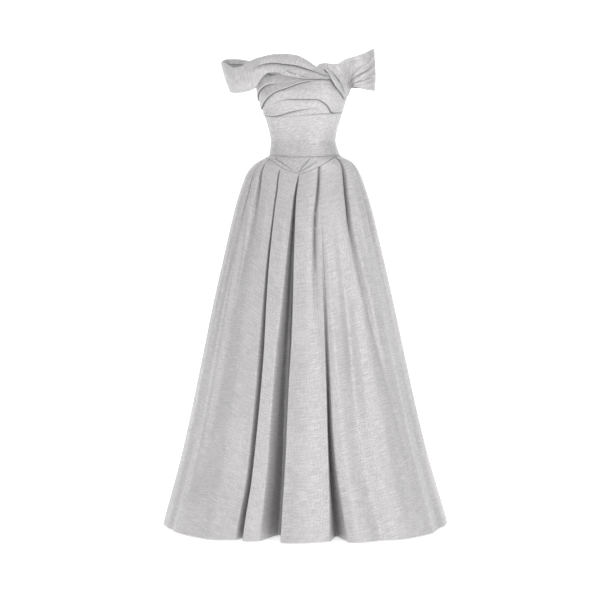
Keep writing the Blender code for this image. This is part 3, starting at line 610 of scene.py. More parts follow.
def skirtColumns(t, low, high):
    # The panel's columns as angles for every row, with how far across which pleat they lie
    middles, halves = pleatCurves(t)
    columns = [(np.full(len(t), float(low)), skirt["offPleat"], -1)]

    def fillTo(edge):
        before = columns[-1][0]
        extra = int(np.max(edge - before) // skirt["widest"])
        for share in np.linspace(0, 1, extra + 2)[1:-1]:
            columns.append((before + share * (edge - before), skirt["offPleat"], -1))

    for k in range(len(middles)):
        if low < pleats["hem"][k] < high:
            fillTo(middles[k] - halves[k])
            for step in np.linspace(-1.0, 1.0, skirt["across"]):
                columns.append((middles[k] + step * halves[k], step, k))
    last = np.full(len(t), float(high))
    fillTo(last)
    columns.append((last, skirt["offPleat"], -1))
    angles, steps, owners = zip(*columns)
    return np.stack(angles, axis=1), np.array(steps), np.array(owners)


def skirtGrid(low, high, seam):
    # Rings of points from the hem up to the seam
    share = np.linspace(1, 0, skirt["rows"]) ** 1.35
    angle, steps, owners = skirtColumns(share, low, high)
    middles = pleatCurves(share)[0]
    t = share[:, None]
    tops = seam(angle[-1]) - gown["seamGap"] / 2
    pinch = t / skirt["pinchShare"] * np.exp(1 - t / skirt["pinchShare"])
    depth = pleats["hipDepth"][owners] * pinch + pleats["hemDepth"][owners] * t ** 1.15
    shade = skirt["shade"] * depth / (depth + skirt["halfShade"])
    for k in slitShades:
        if k in slitDepths:
            depth[:, owners == k] *= along(t, slitShares, slitDepths[k])
        shade[:, owners == k] = along(t, slitShares, slitShades[k])
    bias = pleats["bias"][owners] + 0 * t
    inside = np.where(steps < bias, (1 + steps) / (1 + bias), (1 - steps) / (1 - bias))
    down = smoothStep(inside / pleats["wall"][owners]) * (owners >= 0)
    lean = pleats["lean"][owners] * down * np.clip(t / skirt["leanBy"], 0, 1)
    z = tops + (gown["hem"] - tops) * t
    out = np.zeros(angle.shape)
    # Painted shade inside the pleats, darkest where the cloth goes down
    paintedShade = down * shade
    atHip = np.exp(-(((t - skirt["hipRoundAt"]) / skirt["hipRoundTall"]) ** 2))
    for k, dip in enumerate(pleats["round"]):
        away = (angle - middles[k][:, None]) / pleats["half"][k]
        away = away + np.sign(pleats["bias"][k]) * skirt["roundAside"]
        softly = np.exp(-((away / skirt["roundWide"]) ** 2))
        out -= dip * t ** 2.0 * softly
        out -= pleats["hipRound"][k] * atHip * softly
    for k in range(len(softRidges["hip"])):
        first, last = softRidges["first"][k], softRidges["last"][k]
        middle = softRidges["hip"][k] + (softRidges["hem"][k] - softRidges["hip"][k]) * t
        shown = smoothStep(t, first, first + skirt["softEnd"])
        shown = shown * (1 - smoothStep(t, last - skirt["softEnd"], last))
        apart = (angle - middle) / softRidges["wide"][k]
        out += softRidges["rise"][k] * shown * np.exp(-(apart ** 2))
    for groove in grooves:
        apart = (angle - along(t, slitShares, groove["path"])) / groove["wide"]
        hollow = along(t, slitShares, groove["shown"]) * np.exp(-(apart ** 2))
        out -= groove["depth"] * hollow
        # painted shade in the soft grooves, fading down the skirt
        paintedShade += groove["shade"] * hollow * np.exp(-t / skirt["grooveFade"])
    wave = np.sin(angle * 0.55 + 3.0 * t) * np.sin(angle * 0.21 - 5.0 * t + 1.0)
    out += skirt["wave"] * smoothStep(t, 0.0, 0.25) * wave
    above = z - gown["hem"]
    stitch = (above - skirt["hemStitch"]) / skirt["stitchTall"]
    out -= skirt["stitchDip"] * np.exp(-(stitch ** 2))
    out -= skirt["hemTurn"] * np.exp(-above / skirt["hemTurnTall"])
    points = onForm(angle + lean, z, out)
    inward = onForm(angle + lean, z, out - 0.05) - points
    inward /= np.linalg.norm(inward, axis=-1, keepdims=True)
    below = t * (tops - gown["hem"])
    # painted shade under the seam at the skirt's top
    paintedShade = paintedShade + skirt["seamShade"] * np.exp(-below / skirt["seamShadeTall"])
    return points + inward * (depth * down)[..., None], paintedShade, angle[0]


def skirtGrain(grid, hem):
    # Each lobe between two pleats has its own straight grain, so the joins lie in the pleats
    bottoms = [b for b, depth in zip(pleats["hem"], pleats["hemDepth"])
               if hem[0] < b < hem[-1] and depth > skirt["joinDepth"]]
    edges = [hem[0] - 1.0, *bottoms, hem[-1] + 1.0]
    grain = clothGrain(grid)
    grain[..., 1] = grain[-1:, :, 1] - grain[..., 1]
    for k, (low, high) in enumerate(zip(edges, edges[1:])):
        inside = (hem > low) & (hem <= high)
        middle = np.argmin(np.abs(hem - (max(low, hem[0]) + min(high, hem[-1])) / 2))
        grain[:, inside, 0] -= grain[:, middle:middle + 1, 0] - 1.3 * k
    return grain


def makeSkirt():
    for name, node, low, high, sheet in (
            ("skirtFront", "skirt_front", -90, 90, skirt["front"]),
            ("skirtBackLeft", "skirt_back_left", -180, -90, skirt["back"]),
            ("skirtBackRight", "skirt_back_right", 90, 180, skirt["back"])):
        seam = basqueAt if name == "skirtFront" else waistAt
        grid, paintedShade, hem = skirtGrid(low, high, seam)
        grid = partSeams(grid, hem)
        finishPiece(name, node, grid, skirtGrain(grid, hem), [jacquard, lining], paintedShade)


# Bodice and yoke

bodice = {
    "midriffRows": 64,
    "midriffColumns": 190,
    "midriff": {"flat": (0.36, 0.135), "area": 0.043, "held": "stretched",
                "restsOn": ["yokeFront"]},
    "backTop": ((90.0, 120.0, 150.0, 180.0), (0.1740, 0.1720, 0.1740, 0.1780)),
    "backRows": 70,
    "backColumns": 90,
    "back": {"flat": (0.17, 0.225), "area": 0.034, "held": "stretched",
             "restsOn": ["skirtBackLeft", "skirtBackRight"]},
    "yokeRows": 40,
    "yokeColumns": 190,
    "yoke": {"flat": (0.34, 0.055), "area": 0.0085, "held": "stretched",
             "restsOn": ["midriffFront"]},
    "degree": 0.0019,         # metres round the body for one degree, to draw creases
    "seamDip": 0.0011,
    "seamWide": 0.0015,
    # painted shade along a seam
    "seamShadeWide": 0.0010,
    "rootAside": 0.0006,      # the painted shade at the root of a laid fold, beside its line
    "rootWide": 0.0012,
    "rootShade": 0.6,
}

midriffCreases = (
    ("ridge", ((-70, 0.056), (-50, 0.06), (-32, 0.067)), 0.0009, 0.0035),
    ("ridge", ((-75, 0.036), (-52, 0.04), (-34, 0.05), (-20, 0.058)), 0.0007, 0.0045),
    ("ridge", ((-80, 0.01), (-50, 0.014), (-25, 0.022)), 0.0005, 0.005),
    ("ridge", ((-20, -0.01), (10, -0.004), (35, 0.008)), 0.0005, 0.006),
    ("ridge", ((5, 0.02), (30, 0.03), (55, 0.03)), 0.0006, 0.006),
    ("ridge", ((12, 0.046), (34, 0.052), (60, 0.048)), 0.0006, 0.006),
)

yokeCreases = (
    ("lap", ((-4.5, -0.101), (-1.5, -0.083), (1, -0.071), (6.5, -0.053)), -0.0016, 0.03),
    ("lap", ((-2.5, -0.0985), (1, -0.088), (6, -0.078), (12, -0.064)), -0.0009, 0.012),
    ("lap", ((-8, -0.097), (-17.5, -0.08), (-27, -0.068), (-44, -0.055)), 0.001, 0.02),
)


def byFold(angles, values):
    return along(angles, foldAngles, inMetres(values))


def formCreases(angles, z, drawn):
    # Creases drawn by angle and height, as how far they stand out and the painted shade at their
    # roots
    degree = bodice["degree"]
    lines = [(kind, [(a * degree, h) for a, h in line], rise, width)
             for kind, line, rise, width in drawn]
    height = creases(angles * degree, z, lines)
    dark = np.zeros(height.shape)
    for kind, line, rise, width in lines:
        if kind == "lap":
            away, share = nearest(angles * degree, z, line)
            away = (away + bodice["rootAside"]) / bodice["rootWide"]
            dark = dark + tapered(share, 0.4) * np.exp(-(away ** 2)) * bodice["rootShade"]
    return height, dark


def plainPanel(angles, bottom, top, rows, drawn=(), seams=(0.5, 0.5)):
    # Rows close up towards the seams, where the cloth dips in and gets painted shade
    shares = (1 - np.cos(np.linspace(0, math.pi, rows)))[:, None] / 2
    tall = (top - bottom)[None, :]
    z = bottom[None, :] + shares * tall
    out, dark = formCreases(angles[None, :], z, drawn)
    for apart, seam in zip((shares * tall, (1 - shares) * tall), seams):
        out = out - bodice["seamDip"] * np.exp(-apart / bodice["seamWide"])
        dark = dark + seam * np.exp(-apart / bodice["seamShadeWide"])
    return partSeams(onForm(angles[None, :], z, out), angles), dark


def makeBodice():
    angles = np.linspace(-90, 90, bodice["midriffColumns"])
    bottom = waistAt(angles) + gown["seamGap"] / 2
    top = byFold(angles, underbust) - gown["seamGap"] / 2
    # The painted shade along the underbust seam is lighter on the left, where the lowest fold
    # hangs over it
    upper = 0.08 + 0.25 * smoothStep(angles, -5, 15)
    grid, dark = plainPanel(angles, bottom, top, bodice["midriffRows"], midriffCreases,
                            (0.45, upper[None, :]))
    finishPiece("midriffFront", "midriff_front", grid, clothGrain(grid, (3.0, 1.0), 24.0),
                bodiceCloth, dark)
    for name, node, low, high in (("backLeft", "back_left", -180, -90),
                                  ("backRight", "back_right", 90, 180)):
        angles = np.linspace(low, high, bodice["backColumns"])
        bottom = waistAt(angles) + gown["seamGap"] / 2
        top = along(np.abs(angles), *bodice["backTop"])
        grid, dark = plainPanel(angles, bottom, top, bodice["backRows"])
        finishPiece(name, node, grid, clothGrain(grid, (5.0, low / 90.0)), bodiceCloth, dark)
    angles = np.linspace(-90, 90, bodice["yokeColumns"])
    bottom = basqueAt(angles) + gown["seamGap"] / 2
    grid, dark = plainPanel(angles, bottom, waistAt(angles) - gown["seamGap"] / 2,
                            bodice["yokeRows"], yokeCreases, (0.3, 0.45))
    finishPiece("yokeFront", "yoke_front", grid, clothGrain(grid, (7.0, 2.0), 32.0),
                bodiceCloth, dark)


# Bust drape: heights and lifts of its seam, folds and top by angle, in mm

foldAngles = (-90, -75, -60, -45, -30, -15, 0, 15, 30, 45, 60, 75, 90)
underbust = (79, 78, 74.5, 71.5, 72.2, 73.2, 74.8, 77.5, 79.5, 81.5, 84.5, 87, 88)
bustFolds = (
    ((81.5, 80, 76.5, 73.8, 77.5, 85, 92, 96, 87.5, 82.1, 85.3, 87.8, 88.8),
     (2, 3, 4, 4, 4, 3.5, 2.2, 0.6, 0, 0, 0, 0, 0)),
    ((90, 93, 100, 109, 118.5, 123.5, 122.5, 122.5, 107.5, 84.2, 86.6, 89, 90),
     (0, 0, 0, 0, 0.6, 2.4, 3.6, 4, 4, 3.4, 1, 0, 0)),
    ((98, 104, 116.5, 130.5, 146.5, 158.5, 173, 180, 174, 160, 135, 115, 108),
     (3, 4, 4.2, 4.2, 4, 4, 3.4, 1, 0, 0, 0, 0, 0)),
    ((124, 143.5, 155.5, 166.5, 171.5, 176, 182, 187, 183, 172, 160, 150, 145),
     (3, 4, 4, 3, 1.5, 0.4, 0, 0, 0, 0, 0, 0, 0)),
)
neckTop = (172, 179, 186, 193, 197, 199, 200, 200, 199, 196, 190, 182, 174)

bust = {
    "columns": 200,
    "rows": 15,               # rows in each band of cloth between two folds
    "rollRows": 8,            # rows round each fold's turned edge
    "lift": 1.45,             # how much fuller the folds are than the model's
    "rollRise": 0.0004,       # a turned edge ends this far above where it starts
    "apart": 0.0006,          # the least room between a fold and the next rows
    "underWide": 0.0026,      # how far the painted shade under a fold reaches
    "hemWide": 0.0020,
    "sheet": {"flat": (0.42, 0.24), "area": 0.060, "held": "draped", "restsOn": ["midriffFront"]},
}

bustCreases = (
    ("ridge", ((-40, 0.1), (-20, 0.112), (0, 0.12)), 0.0012, 0.006),
    ("ridge", ((-58, 0.128), (-35, 0.14), (-10, 0.15)), 0.001, 0.005),
    ("ridge", ((20, 0.17), (36, 0.15), (55, 0.13)), 0.0012, 0.006),
    ("ridge", ((8, 0.15), (30, 0.135), (52, 0.112)), 0.001, 0.007),
    ("ridge", ((-12, 0.094), (2, 0.104), (14, 0.115)), 0.001, 0.005),
    ("ridge", ((-66, 0.168), (-45, 0.18), (-22, 0.182)), 0.0036, 0.009),
    ("ridge", ((-34, 0.172), (-16, 0.178), (0, 0.181)), 0.0016, 0.004),
)


def makeBust():
    angles = np.linspace(-90, 90, bust["columns"])
    edges = [byFold(angles, underbust) + gown["seamGap"] / 2]
    edges += [byFold(angles, heights) for heights, _ in bustFolds]
    edges.append(byFold(angles, neckTop))
    lifts = [np.zeros(len(angles))] + [byFold(angles, lift) for _, lift in bustFolds]
    lifts.append(np.zeros(len(angles)))
    lifts = [lift * bust["lift"] for lift in lifts]
    heights, outs, darks = [], [], []
    for k in range(len(edges) - 1):
        low, lift = edges[k], lifts[k]
        shaded = np.clip(lift / 0.003, 0, 1)
        if k:
            for degrees in np.linspace(0, 180, bust["rollRows"]):
                turn = math.radians(degrees)
                rise = bust["rollRise"] * degrees / 180
                heights.append(low + lift / 2 * (1 - math.sin(turn)) + rise)
                outs.append(lift / 2 * (1 - math.cos(turn)))
                # painted shade on the underside of the turned edge
                darks.append(0.8 * shaded * (1 - degrees / 180) ** 1.5)
        start = low + lift / 2 + (bust["apart"] if k else 0.0)
        stop = edges[k + 1] + lifts[k + 1] / 2 - (0.0002 if k < len(edges) - 2 else 0.0)
        stop = np.maximum(stop, start + bust["apart"])
        for share in np.linspace(0, 1, bust["rows"]):
            heights.append(start + share * (stop - start))
            outs.append(lift * (1 - share) ** 1.3)
            # painted shade on the cloth just under the next fold
            above = np.clip(lifts[k + 1] / 0.004, 0, 1)
            under = np.maximum(edges[k + 1] - heights[-1], 0)
            darks.append(above * np.exp(-under / bust["underWide"]))
    z, out, dark = np.array(heights), np.array(outs), np.array(darks)
    ridges, lapRootShade = formCreases(angles[None, :], z, bustCreases)
    hemmed = np.exp(-(z - edges[0]) / bust["hemWide"])
    out = out + ridges - bodice["seamDip"] * hemmed
    # painted shade at the roots of laid folds and along the underbust seam, on the right only
    dark = dark + lapRootShade + 0.5 * smoothStep(angles, -5, 15)[None, :] * hemmed
    grid = partSeams(onForm(angles[None, :], z, out), angles)
    finishPiece("bustFront", "bust_front", grid, clothGrain(grid, (9.0, 3.0), 18.0),
                bodiceCloth, dark)


# Shoulder bands: a row for each section from the twist round the arm to the centre back, in mm

leftSections = table(
    "lowX lowY lowZ topX topY topZ crown lip turn stand",
    (86, -105, 185, 82, -105, 192, 0.5, 0.5, 1, 11),
    (66, -112, 184.2, 62, -111, 204.5, 1.5, 2.5, 1, 10.8),
    (40, -118, 183.8, 36, -113, 223, 3, 4.5, 2, 10.4),
    (10, -121, 183.8, 10, -112, 241, 5, 6, 8, 8),
    (-22, -119, 186.5, -20, -109, 255, 6, 6.5, 16, 5),
    (-55, -113, 193, -56, -105, 259, 6, 6, 20, 4.5),
    (-84, -101, 204.5, -90, -98, 259, 6, 5, 20, 4.5),
    (-106, -90, 204.5, -122, -89, 253.5, 6, 3, 18, 4.5),
    (-126, -85, 190, -148, -81, 247.5, 7, 1, 16, 7.2),
    (-148, -75, 160, -172, -75, 236, 7, 0, 14, 7.2),
    (-173, -69, 150, -194, -71, 224, 6, 0, 12, 7.2),
    (-195, -60, 146.5, -216, -62, 221, 5, 0, 12, 7.2),
    (-214, -40, 147, -240, -42, 235, 4, 0, 12, 7.2),
    (-228, 0, 153, -257, 0, 245, 3, 0, 12, 7.2),
    (-218, 45, 164, -245, 45, 257, 4, 0, 12, 7.2),
    (-184, 71, 170, -205, 72, 260, 5, 0, 14, 7.2),
    (-152, 83, 172, -170, 85, 255, 5, 0, 14, 7.2),
    (-118, 82, 167, -128, 88, 241, 5, 0, 14, 3),
    (-80, 87, 159, -86, 94, 226, 5, 0, 14, 3),
    (-40, 96.5, 150, -42, 101, 213, 4, 0, 14, 3),
    (-0.5, 99.3, 145, -0.5, 103, 208, 3, 0, 14, 3),
)
rightSections = table(
    "lowX lowY lowZ topX topY topZ crown lip turn stand",
    (42, -106, 193, 34, -101, 213, 0, 0, 6, 3.6),
    (62, -103, 198, 47, -99, 228.5, 0, 0, 8, 3.6),
    (75, -101, 198, 68, -99, 232.5, 0.5, 0, 12, 3.8),
    (88, -98, 184, 88, -97, 230, 1.5, 0, 14, 3.8),
    (103, -92, 165, 106, -93, 230.5, 3.5, 0, 14, 3.1),
    (118, -74, 144.5, 123, -86, 240, 5, 0, 14, 3.1),
    (130, -44, 127, 134, -82, 245.5, 5, 0, 14, 3.1),
    (140, -30, 139, 143, -80, 249.5, 5, 0, 14, 4.6),
    (147.5, -43, 161, 153, -77, 253, 4, 0, 12, 4.6),
    (160, -60, 164, 168, -73, 258, 3, 0, 12, 4.6),
    (180, -64, 159, 188, -64, 265, 3, 0, 12, 4.6),
    (201, -52, 155.5, 209.5, -45, 276.5, 3, 0, 12, 4.6),
    (220, -29, 154.5, 220.5, -20, 283.5, 4, 0, 12, 4.6),
    (225, 0, 157, 219.5, 6, 283, 5, 0, 12, 4.6),
    (215, 35, 164, 209, 36, 276, 5, 0, 12, 4.6),
    (193, 65, 171, 188, 68, 267, 5, 0, 14, 6),
    (160, 82, 171, 158, 84, 255, 5, 0, 14, 7),
    (122, 82, 166, 121, 88, 240, 5, 0, 14, 3),
    (83, 86, 159, 85, 94, 225, 5, 0, 14, 3),
    (41, 96.5, 150, 42, 101, 213, 4, 0, 14, 3),
    (0.5, 99.3, 145, 0.5, 103, 208, 3, 0, 14, 3),
)

# Wrinkles on the bands, drawn as section number and share of the height
leftCreases = (
    ("ridge", ((5, 0.3), (4.7, 0.22), (4.3, 0.12), (3.6, 0.08)), 0.0032, 0.07),
    ("ridge", ((5.7, 0.16), (5.2, 0.08), (4.6, 0.02)), 0.0026, 0.06),
    ("ridge", ((4, 0.2), (3.3, 0.14), (2.2, 0.1)), 0.0018, 0.06),
    ("ridge", ((1, 0.3), (3, 0.4), (5, 0.44), (7, 0.38)), 0.0014, 0.12),
    ("ridge", ((7, 0.3), (8.2, 0.48), (9.6, 0.72)), 0.0026, 0.16),
    ("ridge", ((8.2, 0.12), (9.4, 0.3), (10.6, 0.5)), 0.0018, 0.14),
    ("ridge", ((10.4, 0.16), (11.2, 0.4), (12, 0.7)), 0.0014, 0.16),
    ("ridge", ((1.2, 0.78), (4, 0.8), (7.4, 0.82)), 0.0012, 0.1),
    ("lap", ((4.9, 0.24), (4.5, 0.2), (3.95, 0.13)), 0.0017, 0.1),
    ("lap", ((3.9, 0.17), (3.4, 0.12), (2.8, 0.05)), 0.0015, 0.1),
)
rightCreases = (
    ("ridge", ((7.8, 0.18), (9, 0.46), (10.6, 0.72), (12.2, 0.94)), 0.0034, 0.07),
    ("ridge", ((8.2, 0.1), (9.8, 0.36), (11.2, 0.56), (12.5, 0.7)), 0.003, 0.06),
    ("ridge", ((8.8, 0.1), (10.2, 0.26), (11.6, 0.38), (12.6, 0.44)), 0.0026, 0.05),
    ("ridge", ((9.6, 0.08), (11, 0.16), (12.4, 0.22)), 0.0018, 0.05),
    ("ridge", ((6.2, 0.5), (8, 0.7), (9.8, 0.92)), 0.002, 0.07),
    ("ridge", ((3.4, 0.3), (4.6, 0.45), (6, 0.7)), 0.0016, 0.12),
    ("lap", ((7.3, 0.12), (8.6, 0.3), (10, 0.46), (11.4, 0.6)), -0.0018, 0.16),
    ("lap", ((8, 0.06), (9.4, 0.18), (10.6, 0.28), (11.6, 0.34)), -0.0014, 0.12),
    ("lap", ((6.6, 0.5), (8.2, 0.72), (9.8, 0.9)), -0.0012, 0.14),
    # The groove at the right of the narrow fold
    ("lap", ((1.5, 0.45), (2, 0.4), (3.5, 0.39), (4.4, 0.25), (5.1, 0.13), (5.9, 0.02)),
     0.0034, 0.12),
    ("ridge", ((4.8, 0.12), (5.6, 0.32), (6.6, 0.58)), 0.0018, 0.1),
)

bands = {
    "columns": 210,
    "lowRows": 40,
    "lipRows": 8,
    "topRows": 18,
    "rollRows": 9,
    "groove": 0.61,           # share of the height where the upper layer laps the lower one
    "roll": 0.0056,
    "underWide": 0.0028,      # how far the painted shade under that layer reaches
    "fullRise": 0.0031,       # a laid wrinkle this high has fully dark painted shade at its root
    "rootAside": 0.01,        # that root's place and width, as shares of the height
    "rootWide": 0.022,
    "sectionStep": 0.5,       # a section counts for this much of the height in the wrinkles
    "left": {"flat": (0.86, 0.115), "area": 0.070, "held": "draped",
             "restsOn": ["bustFront", "backLeft"]},
    "right": {"flat": (0.62, 0.125), "area": 0.061, "held": "draped",
              "restsOn": ["bustFront", "backRight"]},
}


def makeBand(name, node, sections, side, drawn, offset, turned):
    count = len(sections["lowX"])
    at = np.linspace(0, count - 1, bands["columns"])
    row = {key: along(at, np.arange(count), inMetres(values)) for key, values in sections.items()}
    low = np.stack([row["lowX"], row["lowY"], row["lowZ"]], axis=-1)
    top = np.stack([row["topX"], row["topY"], row["topZ"]], axis=-1)
    path = np.gradient((low + top) / 2, axis=0)
    out = np.stack([side * path[:, 1], -side * path[:, 0], np.zeros(len(at))], axis=-1)
    out /= np.linalg.norm(out, axis=-1, keepdims=True)
    out[-1] = (0.0, 1.0, 0.0)
    up = np.array((0.0, 0.0, 1.0))
    lipped = np.clip(row["lip"] / 0.004, 0, 1)
    groove = bands["groove"]
    height = np.linalg.norm(top - low, axis=-1)

    across = at * bands["sectionStep"]
    lines = [(kind, [(a * bands["sectionStep"], s) for a, s in line], rise, width)
             for kind, line, rise, width in drawn]

    def wrinkled(share):
        return creases(across, share + 0 * at, lines)

    def rooted(share):
        # Painted shade at the root of each laid wrinkle
        dark = 0 * at
        for kind, line, rise, width in lines:
            if kind == "lap":
                away, run = nearest(across, share + 0 * at, line)
                away = (away + bands["rootAside"]) / bands["rootWide"]
                full = abs(rise) / bands["fullRise"]
                dark = dark + full * tapered(run, 0.3) * np.exp(-(away ** 2))
        return dark

    def face(share, lip):
        whole = math.sin(math.pi * share) ** 0.8 if 0 < share < 1 else 0.0
        lower = math.sin(math.pi * share / groove) ** 0.8 if 0 < share < groove else 0.0
        raised = row["crown"] * (whole + (lower - whole) * lipped) + lip + wrinkled(share)
        return standOff(low + share * (top - low) + raised[:, None] * out, row["stand"])

    shaded = np.clip(row["lip"] / 0.003, 0, 1)
    rings, darks = [], []
    under = np.minimum(0.0024, (row["stand"] - 0.0004) / 2)
    bottom = face(0.0, 0.0)
    for degrees in (-60, -30, 0, 30, 60):
        turn = math.radians(degrees)
        swing = bottom - under[:, None] * out * (1 - math.sin(turn))
        rings.append(swing + (under * (1 - math.cos(turn)))[:, None] * up * 0.8)
        # painted shade under the curled lower edge
        darks.append(0 * at + 0.5 * max(0.0, -turn))
    for share in np.linspace(0.012, groove - 0.02, bands["lowRows"]):
        rings.append(face(share, 0.0))
        # painted shade under the upper layer's edge
        under = np.maximum(groove - np.minimum(row["lip"] * 0.7, 0.0042) / height - share, 0)
        darks.append(shaded * np.exp(-under * height / bands["underWide"]) + rooted(share))
    for degrees in np.linspace(0, 180, bands["lipRows"]):
        turn = math.radians(degrees)
        lip = row["lip"] / 2 * (1 - math.cos(turn))
        dip = np.minimum(row["lip"] * 0.8, 0.0045) / height * math.sin(turn)
        share = groove + 0.012 * degrees / 180 - dip * 0.9
        raised = row["crown"] * math.sin(math.pi * groove) ** 0.8 * (1 - lipped) + lip
        points = low + share[:, None] * (top - low) + (raised + wrinkled(groove))[:, None] * out
        rings.append(standOff(points, row["stand"]))
        # painted shade on the underside of the turned lip
        darks.append(0.85 * shaded * (1 - degrees / 180) ** 1.5)
    for share in np.linspace(groove + 0.03, 1.0, bands["topRows"]):
        over = 1 - 0.4 * ((share - groove) / (1 - groove)) ** 2
        rings.append(face(share, row["lip"] * over))
    edge = rings[-1]
    middle = edge - bands["roll"] / 2 * out
    for degrees in np.linspace(20, 160, bands["rollRows"]):
        turn = math.radians(degrees)
        rings.append(middle + bands["roll"] / 2 * (math.cos(turn) * out + math.sin(turn) * up))
    for share in (0.0, 0.5, 1.0):
        rings.append(edge - bands["roll"] * out - (row["turn"] * share)[:, None] * up)
    grid = np.array(rings)
    dark = np.zeros(grid.shape[:2])
    dark[:len(darks)] = darks
    if side < 0:
        grid, dark = grid[:, ::-1], dark[:, ::-1]
    finishPiece(name, node, grid, clothGrain(grid, offset, turned), bodiceCloth, dark)


# The narrow fold that closes the twist and runs down to the right side seam

twistLine = table(
    "oneAngle oneZ twoAngle twoZ stand",
    (22.5, 0.215, 24.5, 0.2175, 0.0072),
    (25, 0.205, 29, 0.21, 0.0126),
    (28, 0.192, 33.5, 0.1995, 0.0148),
    (31, 0.181, 38.5, 0.187, 0.0146),
    (37, 0.165, 46, 0.168, 0.0095),
    (46, 0.1495, 56, 0.148, 0.0072),
    (58, 0.135, 66, 0.137, 0.0072),
    (70, 0.1235, 73, 0.1285, 0.0066),
)

twist = {"columns": 110, "rows": 26, "crown": 0.0020, "edge": 0.0020,
         "sheet": {"flat": (0.13, 0.032), "area": 0.0030, "held": "shaded",
                   "restsOn": ["bustFront", "bandRight"]}}


def makeTwist():
    count = len(twistLine["stand"])
    at = np.linspace(0, count - 1, twist["columns"])
    row = {key: along(at, np.arange(count), values) for key, values in twistLine.items()}
    lines, darks = [], []
    for share in np.linspace(0, 1, twist["rows"]):
        angle = row["oneAngle"] + share * (row["twoAngle"] - row["oneAngle"])
        z = row["oneZ"] + share * (row["twoZ"] - row["oneZ"])
        ends = np.exp(-share / 0.06) + 2.6 * np.exp(-(1 - share) / 0.16)
        ridge = 0.0012 * math.exp(-(((share - 0.16) / 0.07) ** 2))
        out = row["stand"] + twist["crown"] * math.sin(math.pi * share) ** 0.7
        lines.append(onForm(angle, z, out + ridge - twist["edge"] * ends))
        # painted shade along the fold's right edge, where it meets the band
        darks.append(0.85 * np.exp(-(1 - share) / 0.20) * smoothStep(at, 0.3, 2.0))
    grid = np.array(lines)
    finishPiece("twistFold", "twist_fold", grid, clothGrain(grid, (15.0, 1.0)), bodiceCloth,
                np.array(darks))


# Zip

zipper = {"width": 0.024, "thick": 0.0009, "gap": 0.0007, "rows": 60, "columns": 13,
          "behind": 0.0020, "besideDegrees": 172.5,
          "sheet": {"flat": (0.024, 0.30), "area": None, "held": "stretched",
                    "restsOn": ["backLeft", "backRight"]}}


def makeZip():
    z = np.linspace(gown["zipBottom"], gown["zipTop"], zipper["rows"])
    x = np.linspace(zipper["width"] / 2, -zipper["width"] / 2, zipper["columns"])
    back = onForm(180.0, z, -zipper["behind"])[:, 1]
    beside = onForm(zipper["besideDegrees"], z, -zipper["behind"])
    slope = (beside[:, 1] - back) / beside[:, 0]
    y = back[:, None] + slope[:, None] * np.abs(x)[None, :] - zipper["gap"]
    grid = np.stack([x[None, :] + 0 * y, y, z[:, None] + 0 * y], axis=-1)
    finishPiece("zipTape", "zip_tape", grid, clothGrain(grid), [tape], 0.0,
                zipper["thick"])
    for node in ("zip_slider", "zip_pull"):
        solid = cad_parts[node]
        for holder in solid.material_slots:
            holder.material = metal
    print("zip done")


makeSkirt()
makeBodice()
makeBust()
makeBand("bandLeft", "band_left", leftSections, -1, leftCreases,
         (11.0, 0.0), 65.0)
makeBand("bandRight", "band_right", rightSections, 1, rightCreases,
         (13.0, 0.5), 35.0)
makeTwist()
makeZip()


# Studio

studio = {
    "floor": gown["hem"] - 0.004,
    "world": 0.62,
    "glow": 0.55,             # the paper's own light, so that it stays white as in the picture
    "key": 33.0,
    "fill": 11.0,
    "top": 26.0,
    "cameraAt": (-0.0095, -5.0, -0.228),
    "tilt": 3.09,
    "lens": 95.377,
    "halfWide": 9.0,          # the paper: half width, where it bends up behind, radius, height
    "bendAt": 7.0,
    "radius": 1.8,
    "tall": 9.0,
}


def areaLight(name, at, aim, size, watts):
    light = bpy.data.lights.new(name, "AREA")
    light.shape = "RECTANGLE"
    light.size, light.size_y = size
    light.energy = watts
    lamp = bpy.data.objects.new(name, light)
    lamp.location = at
    way = np.array(aim) - np.array(at)
    way = way / np.linalg.norm(way)
    lamp.rotation_euler = (math.acos(-way[2]), 0.0, math.atan2(way[0], -way[1]) + math.pi)
    bpy.context.scene.collection.objects.link(lamp)


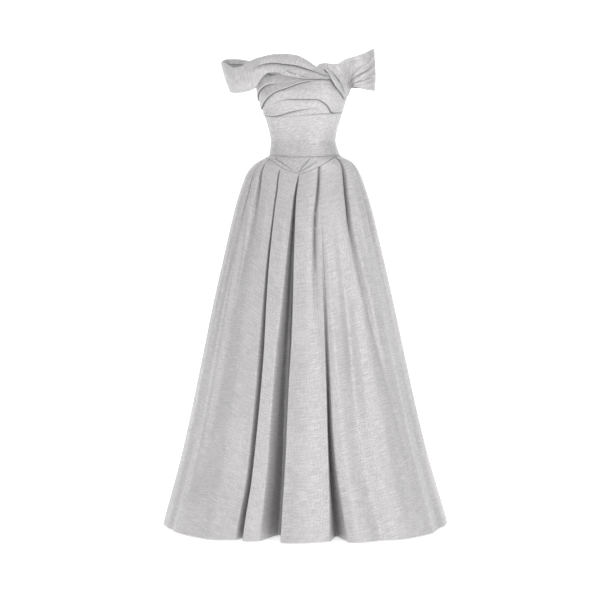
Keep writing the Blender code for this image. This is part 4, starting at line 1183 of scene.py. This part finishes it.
def makeStudio():
    made, wire, shader = newMaterial("studioPaper")
    shader.inputs["Base Color"].default_value = (0.92, 0.92, 0.92, 1.0)
    shader.inputs["Roughness"].default_value = 0.9
    shader.inputs["Emission Color"].default_value = (1.0, 1.0, 1.0, 1.0)
    shader.inputs["Emission Strength"].default_value = studio["glow"]
    wide, bend, radius = studio["halfWide"], studio["bendAt"], studio["radius"]
    profile = [(-wide, 0.0), (bend, 0.0)]
    profile += [(bend + radius * math.sin(a), radius * (1 - math.cos(a)))
                for a in np.linspace(0, math.pi / 2, 16)[1:]]
    profile.append((bend + radius, studio["tall"]))
    points = [(x, y, studio["floor"] + z) for y, z in profile for x in (-wide, wide)]
    faces = [(2 * k, 2 * k + 1, 2 * k + 3, 2 * k + 2) for k in range(len(profile) - 1)]
    mesh = bpy.data.meshes.new("studioFloor")
    mesh.from_pydata(points, [], faces)
    mesh.polygons.foreach_set("use_smooth", [True] * len(faces))
    mesh.materials.append(made)
    floor = bpy.data.objects.new("studioFloor", mesh)
    bpy.context.scene.collection.objects.link(floor)
    world = bpy.data.worlds.new("studioWorld")
    world.use_nodes = True
    world.node_tree.nodes["Background"].inputs["Color"].default_value = (1.0, 1.0, 1.0, 1.0)
    world.node_tree.nodes["Background"].inputs["Strength"].default_value = studio["world"]
    bpy.context.scene.world = world
    areaLight("keyLight", (2.1, -3.2, 0.9), (0.0, 0.0, -0.3), (1.0, 2.8), studio["key"])
    areaLight("fillLight", (-2.4, -3.0, 0.6), (0.0, 0.0, -0.5), (1.4, 2.4), studio["fill"])
    areaLight("topLight", (0.0, 0.6, 2.6), (0.0, 0.0, -0.4), (2.2, 1.4), studio["top"])
    camera = bpy.data.cameras.new("camera")
    camera.lens = studio["lens"]
    camera.sensor_width = 36.0
    camera.clip_end = 60.0
    holder = bpy.data.objects.new("camera", camera)
    holder.location = studio["cameraAt"]
    holder.rotation_euler = (math.radians(90.0 - studio["tilt"]), 0.0, 0.0)
    bpy.context.scene.collection.objects.link(holder)
    bpy.context.scene.camera = holder
    bpy.context.scene.view_settings.view_transform = "Standard"


makeStudio()
print("studio ready")
bpy.context.view_layer.update()
